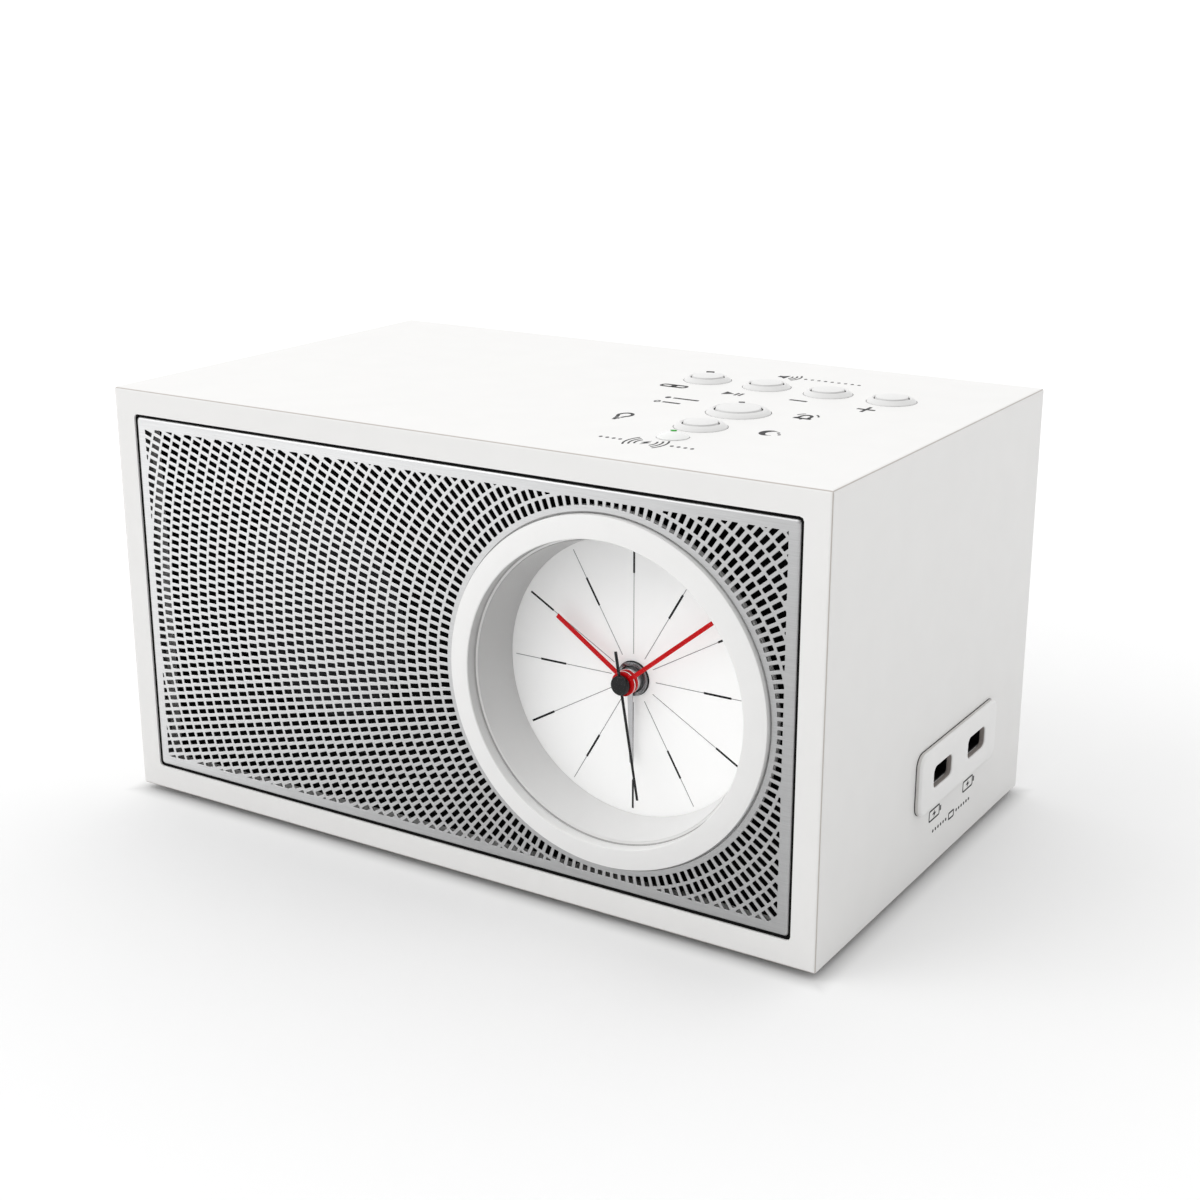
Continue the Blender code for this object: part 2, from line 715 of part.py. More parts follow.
def motion_work():
    """The wheels between the minute and hour hands, and the knob that sets the time."""
    motion_phase = meshing_phase(MINUTE_PINION, 0, MOTION_ANGLE, MOTION_TEETH)
    hour_phase = meshing_phase(MOTION_PINION, 0, MOTION_ANGLE + TURN / 2, HOUR_TEETH)
    set_phase = meshing_phase(MOTION_TEETH, motion_phase, MOTION_ANGLE, TIME_SET_TEETH)
    motion_gears = [
        (MOTION_PINION, HOUR_MODULE, 0, (19.7, 21.2), 0.95),
        (MOTION_TEETH, SET_MODULE, motion_phase, (21.6, 22.6), 0.95),
    ]
    hour_gear = (HOUR_TEETH, HOUR_MODULE, hour_phase, (19.8, 20.8), 1.5)
    wheel("motion_wheel", tube(0.75, 1.15, 19.6, 22.7), motion_gears, BRASS, MOTION_AXIS)
    wheel("hour_wheel", tube(1.25, 1.8, 10.9, 21.0), [hour_gear], BRASS)
    set_knob("time_set_knob", TIME_SET_AXIS, (TIME_SET_TEETH, SET_MODULE, set_phase, (21.4, 22.8), 0))


def alarm_work():
    """The alarm hand's wheel, and the knob that sets it."""
    set_phase = meshing_phase(ALARM_TEETH, 0, ALARM_SET_ANGLE, ALARM_SET_TEETH)
    alarm_gear = (ALARM_TEETH, ALARM_MODULE, 0, (18.2, 19.2), 2.2)
    wheel("alarm_wheel", tube(1.95, 2.4, 12.7, 19.3), [alarm_gear], BRASS)
    set_gear = (ALARM_SET_TEETH, ALARM_MODULE, set_phase, (18.1, 19.4), 0)
    set_knob("alarm_set_knob", ALARM_SET_AXIS, set_gear)


def set_knob(name, axis, gear):
    """A ridged knob behind the cabinet on a long shaft, with the gear at its front end."""
    start = REAR_DEPTHS[1] + SLACK
    profile = [
        (0, 16.8),
        (1.0, 16.8),
        (1.0, 18.0),
        (1.5, 18.0),
        (1.5, start),
        (6.2, start),
        (6.2, 143.6),
        (0, 143.6),
    ]
    ridges = (KNOB_RIDGES, 14.0 / KNOB_RIDGES, 0, (start + 0.7, 143.2), 0)
    wheel(name, profile, [gear, ridges], GREY_PLASTIC, axis, 16)


def hand(name, finish, clockwise, hub, hub_depths, blade_depths, outline, bore=0.0):
    """A clock hand, drawn pointing at twelve: its hub is a disc, with a bore if the tube runs through."""
    edge = circle(hub, sides=20)
    loops = [edge, circle(bore, sides=12)] if bore else [edge]
    obj = facing_plate(name, loops, hub_depths, finish, clockwise=clockwise)
    join(obj, facing_plate(f"join_{name}", [outline], blade_depths, clockwise=clockwise))
    return obj


def blade(start, end, start_width, end_width):
    return [
        (-start_width / 2, start),
        (start_width / 2, start),
        (end_width / 2, end),
        (-end_width / 2, end),
    ]


def hands():
    second = hand(
        "second_hand", BLACK_SATIN, SECOND_ANGLE, 2.7, (7.6, 8.8), (8.1, 8.5), blade(-9.3, 32.3, 0.8, 0.6)
    )
    cut(second, add("cut_second_hub", rods(front_to_back((CLOCK_X, CLOCK_Z), 7.9, 9.5, 0.62))))
    hand("minute_hand", RED, MINUTE_ANGLE, 3.4, (9.2, 10.3), (9.45, 9.85), blade(2.3, 34.3, 1.2, 1.2), 1.2)
    hand("hour_hand", RED, HOUR_ANGLE, 3.4, (10.8, 12.1), (11.2, 11.6), blade(2.6, 26.5, 1.3, 1.3), 1.9)
    hand("alarm_hand", SILVER, ALARM_ANGLE, 3.3, (12.6, 13.7), (13.0, 13.4), blade(2.9, 23.7, 1.6, 0.9), 2.5)


# The speaker


def speaker():
    centre = (SPEAKER_X, CLOCK_Z)
    basket_profile = [
        (39.5, 13.6),
        (39.5, 15.0),
        (35.8, 15.0),
        (35.8, 19.5),
        (20.0, 36.0),
        (20.0, 37.2),
        (9.5, 37.2),
        (9.5, 36.2),
        (18.8, 36.2),
        (34.4, 19.3),
        (34.4, 13.6),
    ]
    basket = facing("speaker_basket", basket_profile, BLACK_SATIN, centre, 28)
    windows = [
        ((SPEAKER_X - 50, 20.5, CLOCK_Z - 12), (SPEAKER_X + 50, 33.5, CLOCK_Z + 12)),
        ((SPEAKER_X - 12, 20.6, CLOCK_Z - 50), (SPEAKER_X + 12, 33.4, CLOCK_Z + 50)),
    ]
    cut(basket, *[add(f"cut_window_{i}", blocks(pair)) for i, pair in enumerate(windows)])
    magnet_profile = [
        (0, 29.0),
        (6.3, 29.0),
        (6.3, 48.0),
        (8.4, 48.0),
        (8.4, 37.6),
        (24.0, 37.6),
        (24.0, 49.5),
        (19.0, 49.5),
        (19.0, 53.0),
        (0, 53.0),
    ]
    facing("speaker_magnet", magnet_profile, FERRITE, centre, 20)
    cone_profile = [(30.2, 15.6), (30.2, 16.2), (7.5, 28.2), (7.5, 44.0), (7.0, 44.0), (7.0, 27.6)]
    facing("speaker_cone", cone_profile, PAPER, centre, 28)
    facing("speaker_dust_cap", [(0, 23.6), (4, 24.1), (7, 25.3), (8.2, 26.5), (0, 26.5)], PAPER, centre, 16)
    facing("speaker_surround", roll_profile(32.0, 15.9, 1.5, 1.0), RUBBER, centre, 28)


def roll_profile(radius, depth, outer, inner):
    """The section of a half-round roll that bulges to the front."""
    angles = [0, TURN / 8, TURN / 4]
    outside = [(radius + outer * math.sin(a), depth - outer * math.cos(a)) for a in angles]
    inside = [(radius + inner * math.sin(a), depth - inner * math.cos(a)) for a in reversed(angles)]
    inside += [(radius - inner * math.sin(a), depth - inner * math.cos(a)) for a in angles[1:]]
    far_side = [(radius - outer * math.sin(a), depth - outer * math.cos(a)) for a in reversed(angles[1:])]
    return outside + inside + far_side


# The buttons


def button(name, x, y, ring, cap):
    """A round button in its ring, with a stem that reaches down to its switch."""
    bore = cap + CAP_SLACK
    under = -WALL - SLACK
    ring_profile = [
        (bore + 0.6, RING_HEIGHT),
        (ring - 0.5, 0.9),
        (ring, 0.3),
        (ring, under),
        (ring + FLANGE, under),
        (ring + FLANGE, under - 1.1),
        (bore, under - 1.1),
        (bore, RING_HEIGHT - 0.4),
    ]
    turned(f"{name}_ring", ring_profile, WHITE_SATIN, (x, y, HEIGHT), 24)
    skirt = under - 1.1 - SLACK
    cap_profile = [
        (0, CAP_HEIGHT),
        (cap * 0.6, CAP_HEIGHT - 0.25),
        (cap, CAP_HEIGHT - 1.0),
        (cap, skirt),
        (cap + 0.8, skirt),
        (cap + 0.8, skirt - 0.8),
        (2.0, skirt - 0.8),
        (2.0, -8.2),
        (0, -8.2),
    ]
    turned(f"{name}_button", cap_profile, WHITE_SATIN, (x, y, HEIGHT), 20)


def charge_lamp():
    """The small domed window of the charging lamp."""
    under = -WALL - SLACK
    profile = [
        (0, 1.5),
        (LAMP_RADIUS * 0.7, 1.1),
        (LAMP_RADIUS, 0.2),
        (LAMP_RADIUS, under),
        (LAMP_RADIUS + FLANGE, under),
        (LAMP_RADIUS + FLANGE, under - 1.1),
        (0, under - 1.1),
    ]
    turned("charge_lamp", profile, MILKY, (*LAMP_PLACE, HEIGHT), 20)


def button_board():
    """A T-shaped circuit board under the buttons, with a switch below each one and the lamp's LED."""
    outline = [
        (18, 90),
        (46, 90),
        (46, 22),
        (68, 22),
        (68, 91),
        (97, 91),
        (97, 112),
        (18, 112),
    ]
    top = BUTTON_BOARD_Z + BOARD_THICK
    board = add("button_board", outline_mesh([outline], BUTTON_BOARD_Z, top), CIRCUIT_GREEN)
    bm = bmesh.new()
    for _, x, y, _, _ in BUTTONS:
        block(bm, (x - 3, y - 3, top - 0.5), (x + 3, y + 3, top + 3.4))
    x, y = LAMP_PLACE
    block(bm, (x - 2, y - 2, top - 0.5), (x + 2, y + 2, top + 4))
    bodies = add("join_switches", mesh_of(bm))
    tips = [((x, y, top + 3), (x, y, top + 4.4), 1.6, 8) for _, x, y, _, _ in BUTTONS]
    join(board, bodies, add("join_switch_tips", rods(*tips)))


# The USB panel, the boards and the charging coil


def usb_panel():
    """The raised plate round the two USB sockets."""
    holes = [
        rounded_rectangle(PORT_HOLE, 1.0, (side * PORT_SPACING / 2, 0), 1) for side in (-1, 1)
    ]
    mesh = outline_mesh([rounded_rectangle(PANEL_SIZE, PANEL_CORNER)] + holes, FINE_SLACK, PANEL_PROUD)
    place = (WIDTH / 2, PANEL_Y, PANEL_Z)
    panel = add("usb_panel", mesh, WHITE_SATIN, place, (TURN / 4, 0, TURN / 4))
    round_edges(panel, 0.5, 1, TURN / 6)


def usb_sockets():
    """Two metal shells, each with its tongue inside."""
    for number, side in enumerate((-1, 1), 1):
        y = PANEL_Y + side * PORT_SPACING / 2
        half_y, half_z = SOCKET_SIZE[0] / 2, SOCKET_SIZE[1] / 2
        low = (SOCKET_X[0], y - half_y, PANEL_Z - half_z)
        high = (SOCKET_X[1], y + half_y, PANEL_Z + half_z)
        socket = add(f"usb_socket_{number}", blocks((low, high)), STEEL)
        inner_low = (SOCKET_X[0] + 1, y - half_y + 0.35, PANEL_Z - half_z + 0.35)
        inner_high = (SOCKET_X[1] + 1, y + half_y - 0.35, PANEL_Z + half_z - 0.35)
        tongue_low = (SOCKET_X[0] + 0.5, y - 5.5, PANEL_Z + 0.2)
        tongue_high = (PANEL_PROUD + WIDTH / 2 - 5.1, y + 5.5, PANEL_Z + 1.9)
        cut(socket, add(f"cut_socket_{number}", blocks((inner_low, inner_high))))
        join(socket, add(f"join_tongue_{number}", blocks((tongue_low, tongue_high))))


def usb_board():
    top = PANEL_Z - SOCKET_SIZE[1] / 2 - 0.2
    low = (92, PANEL_Y - 25, top - BOARD_THICK)
    high = (INNER_X - 1, PANEL_Y + 25, top)
    board = add("usb_board", blocks((low, high)), CIRCUIT_GREEN)
    parts = blocks(
        ((93.5, PANEL_Y - 6, top - 0.5), (97.5, PANEL_Y + 6, top + 3)),
    )
    join(board, add("join_usb_chip", parts))


def charging_pad():
    """A flat winding on a ferrite sheet, hung under the top where a phone lies."""
    x, y = COIL_PLACE
    top = INNER_TOP - 0.6
    profile = [(21, 0), (21, -1.1), (9, -1.1), (9, 0)]
    turned("charging_coil", profile, COPPER, (x, y, top), 28)
    mesh = blocks(((x - 23, y - 23, top - 2.3), (x + 23, y + 23, top - 1.4)))
    add("charging_plate", mesh, FERRITE)


def main_board():
    """The amplifier and power board on the floor of the cabinet."""
    board = add("main_board", blocks(MAIN_BOARD), CIRCUIT_GREEN)
    top = MAIN_BOARD[1][2]
    bm = bmesh.new()
    block(bm, (-88, 100, top - 0.5), (-66, 104, top + 16))
    block(bm, (-20, 70, top - 0.5), (-6, 84, top + 1.6))
    block(bm, (-50, 60, top - 0.5), (-36, 74, top + 9))
    for x, y, radius, height in ((-76, 60, 5, 16), (-62, 60, 4, 12), (0, 108, 5, 14), (14, 108, 4, 12)):
        rod(bm, (x, y, top - 0.5), (x, y, top + height), radius, 10)
    join(board, add("join_components", mesh_of(bm)))


def dc_jack():
    """The power inlet: a round socket with a centre pin."""
    x, z = JACK_PLACE
    block_mesh = blocks(((x - 6, 126, z - 5.5), (x + 6, REAR_DEPTHS[0] - SLACK, z + 5.5)))
    body = add("dc_jack", block_mesh, BLACK_SATIN)
    collar = add("join_collar", rods(front_to_back(JACK_PLACE, 134, REAR_DEPTHS[1] + 0.6, 4.4, 16)))
    bore = add("cut_jack_bore", rods(front_to_back(JACK_PLACE, 127.5, 140, 3.1, 16)))
    pin = add("join_pin", rods(front_to_back(JACK_PLACE, 127, 137.4, 1.0, 8)))
    join(body, collar)
    cut(body, bore)
    join(body, pin)


clear_scene()
PARTS = new_collection("clock_radio")
HELPERS = new_collection("clock_radio_helpers")
DATUM = new_datum()

cabinet_shell()
rear_panel()
rear_screws()
feet()
grille()
front_baffle()
clock_bezel()
clock_lens()
clock_dial()
dial_nut()
movement_cases()
movement_mid_plate()
movement_coil()
time_train()
motion_work()
alarm_work()
hands()
speaker()
for values in BUTTONS:
    button(*values)
charge_lamp()
button_board()
usb_panel()
usb_sockets()
usb_board()
charging_pad()
main_board()
dc_jack()
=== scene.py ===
"""The looks of the bedside clock radio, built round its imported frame: a finish for every part, the
slotted grille, the printed dial and marks, and finely turned clock, button and socket pieces.

Lengths are in millimetres, measured from the cabinet: x from its middle, y back from its front face,
z up from its underside. Flat work is drawn as (u, v) points in a frame of its own, which carries it
to the front, the top, the right side or the back. A third number is then the depth or the height.
"""

import math

import bmesh
import bpy
from mathutils import Matrix, Vector
from mathutils.geometry import delaunay_2d_cdt


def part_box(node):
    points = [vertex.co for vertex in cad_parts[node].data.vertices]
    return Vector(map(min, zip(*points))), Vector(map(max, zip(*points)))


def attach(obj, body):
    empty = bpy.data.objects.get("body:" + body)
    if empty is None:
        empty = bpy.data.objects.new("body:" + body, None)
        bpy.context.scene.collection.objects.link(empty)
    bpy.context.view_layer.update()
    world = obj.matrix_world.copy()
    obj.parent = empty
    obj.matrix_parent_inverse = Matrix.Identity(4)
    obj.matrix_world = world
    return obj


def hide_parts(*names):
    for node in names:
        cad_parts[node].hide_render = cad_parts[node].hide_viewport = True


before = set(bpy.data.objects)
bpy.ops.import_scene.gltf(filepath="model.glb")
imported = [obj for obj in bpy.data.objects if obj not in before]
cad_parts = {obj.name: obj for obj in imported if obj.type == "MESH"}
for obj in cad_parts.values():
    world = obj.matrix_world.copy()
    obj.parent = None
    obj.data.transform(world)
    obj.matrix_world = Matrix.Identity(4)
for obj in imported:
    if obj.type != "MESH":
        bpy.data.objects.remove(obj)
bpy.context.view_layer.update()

MM = 0.001
TURN = 2 * math.pi
STEPS = 128
SMALL_STEPS = 64
BEZEL_STEPS = 224
QUARTER = [TURN / 4 * step / 5 for step in range(6)]
SHARP_ANGLE = math.radians(35)
NEARLY_STRAIGHT = 0.97 * TURN / 2
EVEN = (1, 1, 1)

# The cabinet, as the frame has it
SHELL_LOW, SHELL_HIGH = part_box("cabinet_shell")
SHELL_MIDDLE = (SHELL_LOW + SHELL_HIGH) / 2
SHELL_HALF = (SHELL_HIGH - SHELL_LOW) / 2
ORIGIN = Vector(((SHELL_LOW.x + SHELL_HIGH.x) / 2, SHELL_LOW.y, SHELL_LOW.z))
TO_ROW = Matrix.Translation(ORIGIN) @ Matrix.Scale(MM, 4)
WIDTH = (SHELL_HIGH.x - SHELL_LOW.x) / MM
HEIGHT = (SHELL_HIGH.z - SHELL_LOW.z) / MM

# Grille, and the gap round it
FRAME_WIDTH = 7.4
TRAY_INSET = 8.2
TRAY_CORNER = 1.2
FOLD_RADIUS = 1.0
FOLD_DEPTH = 5.0
SHEET = 0.3
FIELD_INSET = 11.4
CLOCK_HOLE = 49.0
FIRST_RING = 52.1
RING_PITCH = 3.7
RING_COUNT = 33
SLOT_LENGTH = 2.85
SLOT_WIDTH = 1.42
SLOT_PITCH = 2.44
SLOT_CORNER = 0.14
SLOT_STAGGER = 0.35
SLOT_EASE = 0.07
SMALLEST_SLOT = 0.12

# Clock
CLOCK = (54.0, HEIGHT / 2)
BEZEL_RADIUS = 48.5
BEZEL_PROUD = 2.5
BEZEL_EDGE = 1.3
FLANGE_RADIUS = 50.6
LIP_RADIUS = 42.3
LEDGE = 1.2
WELL_TOP = 41.3
WELL_FOOT = 39.3
DIAL_FACE = 15.0
PRINT_RADIUS = 38.0
HAIR_START = 6.9
OUTER_DASH = (29.4, 37.8)
INNER_DASH = (21.5, 29.7)
HAIR_WIDTH = 0.19
DASH_WIDTH = 0.58
HAND_EDGE = 0.06
RIM_RADIUS = 3.4
HOUR_ANGLE = 304.24
MINUTE_ANGLE = 50.84
SECOND_ANGLE = 170.4
ALARM_ANGLE = 179.0

# Buttons on top: name, x, y, ring radius, cap radius
BUTTONS = [
    ("pair", 27.0, 102.3, 7.2, 4.9),
    ("play", 47.0, 102.3, 7.2, 4.9),
    ("minus", 67.0, 102.3, 7.2, 4.9),
    ("plus", 87.0, 102.3, 7.2, 4.9),
    ("alarm", 57.0, 65.8, 9.2, 6.6),
    ("snooze", 57.0, 44.3, 7.4, 4.9),
]
CAP_SLACK = 0.25
RING_TOP = 1.3
CAP_TOP = 1.85
CAP_DROP = 0.45
CAP_FOOT = -8.2
FAR_SIDE = math.radians(21)
FLANGE = 1.0
FLANGE_TOP = -3.8
LAMP = (57.0, 29.4)
LAMP_RADIUS = 4.4
LAMP_TOP = 1.5
LAMP_DROP = 1.3

# Printed marks
INK = 0.04
PEN = 0.92
THIN_PEN = 0.5
DOT = 0.5
TOP_STRETCH = 1.3

# USB panel on the right side
PANEL_MIDDLE = (88.6, 29.5)
PANEL_SIZE = (56.6, 18.4)
PANEL_PROUD = 1.8
PANEL_CORNER = 3.5
PANEL_FOOT = 0.1
PORT_SIZE = (13.3, 6.5)
PORT_CORNER = 1.9
PORT_SPACING = 25.3
SOCKET_SIZE = (13.1, 5.7)
SOCKET_DEPTHS = (-0.1, 19.2)

# Camera, floor and light
CAMERA_PLACE = (300.87, -395.47, 237.64)
CAMERA_AZIMUTH = 32.098
CAMERA_ELEVATION = 17.633
CAMERA_LENS = 57.07
SENSOR_WIDTH = 36
FLOOR_REACH = 300.0
FLOOR_NEAR = (0.86, 0.86, 0.86)
FLOOR_FAR = (0.97, 0.97, 0.97)
SHADE_REACH = 5.5
SHADE_SHARE = 0.75
KEY_AZIMUTH = -40
KEY_ELEVATION = 48
KEY_DISTANCE = 1.6
KEY_SIZE = 0.9
KEY_POWER = 3.4
SKY_STRENGTH = 0.99
SKY_LEAN = (-0.10, -0.02, 0.27)
SKY_DARK_SIDE = (0.80, -0.58, 0.15)
SKY_DARK_DEPTH = 0.65


# Frames: each takes (u, v, depth or height) to the cabinet


def front_frame(x, z):
    """u to the right, v up and the third number back from the front face."""
    return Matrix(((1, 0, 0, x), (0, 0, 1, 0), (0, 1, 0, z), (0, 0, 0, 1)))


def top_frame(x, y):
    """u to the right, v towards the back and the third number up from the top face."""
    return Matrix.Translation((x, y, HEIGHT))


def side_frame(y, z):
    """u towards the back, v up and the third number out from the right side."""
    return Matrix(((0, 0, 1, WIDTH / 2), (1, 0, 0, y), (0, 1, 0, z), (0, 0, 0, 1)))


# Meshes


def circle(radius, centre=(0.0, 0.0), sides=STEPS):
    angles = [TURN * i / sides for i in range(sides)]
    return [(centre[0] + radius * math.cos(a), centre[1] + radius * math.sin(a)) for a in angles]


def rounded_rectangle(width, height, corner, centre=(0.0, 0.0), sides=6):
    points = []
    for quarter, (sx, sy) in enumerate([(1, 1), (-1, 1), (-1, -1), (1, -1)]):
        middle_x = centre[0] + sx * (width / 2 - corner)
        middle_y = centre[1] + sy * (height / 2 - corner)
        for i in range(sides + 1):
            angle = TURN / 4 * (quarter + i / sides)
            points.append((middle_x + corner * math.cos(angle), middle_y + corner * math.sin(angle)))
    return points


def at_depth(loop, depth):
    return [(point[0], point[1], depth) for point in loop]


def turned_clockwise(points, degrees):
    """The points as they lie when the hand that they belong to turns clockwise from twelve."""
    c, s = math.cos(math.radians(degrees)), math.sin(math.radians(degrees))
    return [(u * c + v * s, v * c - u * s) for u, v in points]


def filled(loops):
    """Triangles between the first loop and the loops inside it, as places in the loops' joined list."""
    points, rims = [], []
    for loop in loops:
        rims.append(list(range(len(points), len(points) + len(loop))))
        points.extend(Vector(point[:2]) for point in loop)
    _, _, faces, origins, _, face_origins = delaunay_2d_cdt(points, [], rims, 1, 1e-6)
    kept = [face for face, inside in zip(faces, face_origins) if inside == [0]]
    return [[origins[i][0] for i in face] for face in kept]


def plate(*edges):
    """A solid plate. Each edge, the outer one first, is a list of loops that all have the same number
    of points, and run from the front face over the edge to the back face."""
    points, faces, front, back = [], [], [], []
    for loops in edges:
        count = len(loops[0])
        start = len(points)
        for loop in loops:
            points.extend(loop)
        for row in range(len(loops) - 1):
            a = start + row * count
            for i in range(count):
                j = (i + 1) % count
                faces.append((a + i, a + j, a + count + j, a + count + i))
        front.extend(range(start, start + count))
        back.extend(range(len(points) - count, len(points)))
    for triangle in filled([loops[0] for loops in edges]):
        faces.append([front[i] for i in triangle])
        faces.append([back[i] for i in reversed(triangle)])
    return points, faces


def slab(outline, low, high, *holes):
    """A plate with square edges."""
    return plate(*[[at_depth(loop, high), at_depth(loop, low)] for loop in (outline, *holes)])


def lathe(profile, steps=STEPS):
    """A shape turned about the third axis. Its profile is (radius, height) points, and it is closed
    on the axis if it starts there, and otherwise from its last point to its first."""
    points, rings = [], []
    for radius, height in profile:
        count = steps if radius else 1
        rings.append(range(len(points), len(points) + count))
        points.extend((*point, height) for point in circle(radius, sides=count))
    if profile[0][0]:
        rings.append(rings[0])
    faces = []
    for one, other in zip(rings, rings[1:]):
        for i in range(steps):
            j = (i + 1) % steps
            corners = [one[i % len(one)], one[j % len(one)], other[j % len(other)], other[i % len(other)]]
            faces.append(list(dict.fromkeys(corners)))
    return points, [face for face in faces if len(face) > 2]


def eased(profile, radius, sides=4):
    """The profile with its corners rounded off."""
    closed = bool(profile[0][0])
    made = []
    for i, corner in enumerate(profile):
        if not closed and i in (0, len(profile) - 1):
            made.append(corner)
            continue
        here = Vector(corner)
        before, after = Vector(profile[i - 1]) - here, Vector(profile[(i + 1) % len(profile)]) - here
        bend = before.angle(after)
        if bend > NEARLY_STRAIGHT:
            made.append(corner)
            continue
        reach = min(radius / math.tan(bend / 2), 0.45 * before.length, 0.45 * after.length)
        start, end = here + before.normalized() * reach, here + after.normalized() * reach
        for step in range(sides + 1):
            t = step / sides
            made.append(tuple((1 - t) ** 2 * start + 2 * t * (1 - t) * here + t**2 * end))
    return made


def joined(*shapes):
    """Several shapes as one list of points and faces."""
    points, faces = [], []
    for more_points, more_faces in shapes:
        start = len(points)
        points.extend(more_points)
        faces.extend([i + start for i in face] for face in more_faces)
    return points, faces


def smoothed(mesh):
    """The mesh, smooth but for its sharp edges."""
    mesh.shade_smooth()
    mesh.set_sharp_from_angle(angle=SHARP_ANGLE)
    return mesh


def mesh_of(name, shape, place):
    """The shape as a mesh in the row's frame."""
    points, faces = shape
    bm = bmesh.new()
    corners = [bm.verts.new(TO_ROW @ place @ Vector(point)) for point in points]
    for face in faces:
        bm.faces.new([corners[i] for i in face])
    bmesh.ops.recalc_face_normals(bm, faces=bm.faces)
    mesh = bpy.data.meshes.new(name)
    bm.to_mesh(mesh)
    bm.free()
    return smoothed(mesh)


def piece(name, shape, place, material, body="cabinet", replaces=()):
    """Adds a piece that rides on a body, in place of the CAD nodes that it stands for."""
    obj = bpy.data.objects.new(name, mesh_of(name, shape, place))
    bpy.context.scene.collection.objects.link(obj)
    obj.data.materials.append(material)
    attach(obj, body)
    if replaces:
        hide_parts(*replaces)
    return obj


def united(obj, shape, place):
    """Joins a second shape to the piece as one solid."""
    tool = bpy.data.objects.new("tool", mesh_of("tool", shape, place))
    bpy.context.scene.collection.objects.link(tool)
    union = obj.modifiers.new("union", "BOOLEAN")
    union.operation = "UNION"
    union.solver = "EXACT"
    union.object = tool
    bpy.context.view_layer.update()
    graph = bpy.context.evaluated_depsgraph_get()
    mesh = bpy.data.meshes.new_from_object(obj.evaluated_get(graph))
    obj.modifiers.remove(union)
    obj.data = smoothed(mesh)
    bpy.data.objects.remove(tool, do_unlink=True)


# Materials: a position in one is in metres, and the sizes given to it are in millimetres

MATHS = "ShaderNodeMath"
VECTOR_MATHS = "ShaderNodeVectorMath"


def node(tree, kind, inputs, operation=None):
    """A new node, with its inputs, by name or place, linked to a socket or set to a value."""
    made = tree.nodes.new(kind)
    if operation:
        made.operation = operation
    for place, value in inputs.items():
        if isinstance(value, bpy.types.NodeSocket):
            tree.links.new(value, made.inputs[place])
        else:
            made.inputs[place].default_value = value
    return made


def span_of(tree, value, low, high, start=0.0, end=1.0, smooth=False):
    """A share that runs from low to high as the value runs from the start to the end."""
    inputs = {"Value": value, "From Min": start, "From Max": end, "To Min": low, "To Max": high}
    made = node(tree, "ShaderNodeMapRange", inputs)
    if smooth:
        made.interpolation_type = "SMOOTHSTEP"
    return made.outputs["Result"]


def ramp_of(tree, factor, low, high, start=0.0, end=1.0, interpolation="LINEAR"):
    """A colour that runs from low to high as the factor runs from the start to the end."""
    made = node(tree, "ShaderNodeValToRGB", {"Fac": factor})
    made.color_ramp.interpolation = interpolation
    for element, place, colour in zip(made.color_ramp.elements, (start, end), (low, high)):
        element.position = place
        element.color = (*colour, 1)
    return made.outputs["Color"]


def position_in(tree):
    return tree.nodes.new("ShaderNodeTexCoord").outputs["Object"]


def start_material(name, colour, roughness, metallic=0.0, **sockets):
    """A material of one even finish, and the position in it to draw patterns from."""
    made = bpy.data.materials.new(name)
    made.use_nodes = True
    shader = made.node_tree.nodes["Principled BSDF"]
    shader.inputs["Base Color"].default_value = (*colour, 1)
    shader.inputs["Roughness"].default_value = roughness
    shader.inputs["Metallic"].default_value = metallic
    for socket, value in sockets.items():
        shader.inputs[socket.replace("_", " ")].default_value = value
    return made, position_in(made.node_tree)


def feed(material, socket, source):
    """Links a source to an input of the material's shader."""
    tree = material.node_tree
    tree.links.new(source, tree.nodes["Principled BSDF"].inputs[socket])


def paint_of(material):
    """The source that the shader's colour comes from so far."""
    return material.node_tree.nodes["Principled BSDF"].inputs["Base Color"].links[0].from_socket


def scale_paint(material, share):
    scaled = node(material.node_tree, VECTOR_MATHS, {0: paint_of(material), "Scale": share}, "SCALE")
    feed(material, "Base Color", scaled.outputs["Vector"])


def pattern(material, position, stretch, size, detail=3.0):
    """A noise whose marks are about size millimetres across, drawn out by stretch along each axis."""
    tree = material.node_tree
    scale = [1 / (MM * size * s) for s in stretch]
    mapping = node(tree, "ShaderNodeMapping", {"Vector": position, "Scale": scale})
    inputs = {"Vector": mapping.outputs["Vector"], "Scale": 1.0, "Detail": detail}
    return node(tree, "ShaderNodeTexNoise", inputs).outputs["Fac"]


def shade_by(material, factor, colour, spread):
    """Varies the colour by a share either way, as the factor goes from dark to light."""
    dark = [c * (1 - spread) for c in colour]
    light = [min(1.0, c * (1 + spread)) for c in colour]
    feed(material, "Base Color", ramp_of(material.node_tree, factor, dark, light, 0.3, 0.7))


def roughen_by(material, factor, low, high):
    feed(material, "Roughness", span_of(material.node_tree, factor, low, high))


def emboss_by(material, height, depth):
    """Raises the surface by depth millimetres where the height is 1."""
    bump = node(material.node_tree, "ShaderNodeBump", {"Height": height, "Distance": depth * MM})
    feed(material, "Normal", bump.outputs["Normal"])


def textured(name, colour, roughness, spread, grain, depth, stretch=EVEN, metallic=0.0, **sockets):
    """The plain recipe: faint cloudy colour, uneven gloss, and a fine grain of the given size and depth."""
    made, position = start_material(name, colour, roughness, metallic, **sockets)
    clouds = pattern(made, position, stretch, grain * 30)
    fine = pattern(made, position, stretch, grain)
    shade_by(made, clouds, colour, spread)
    roughen_by(made, fine, roughness - 0.06, roughness + 0.06)
    emboss_by(made, fine, depth)
    return made


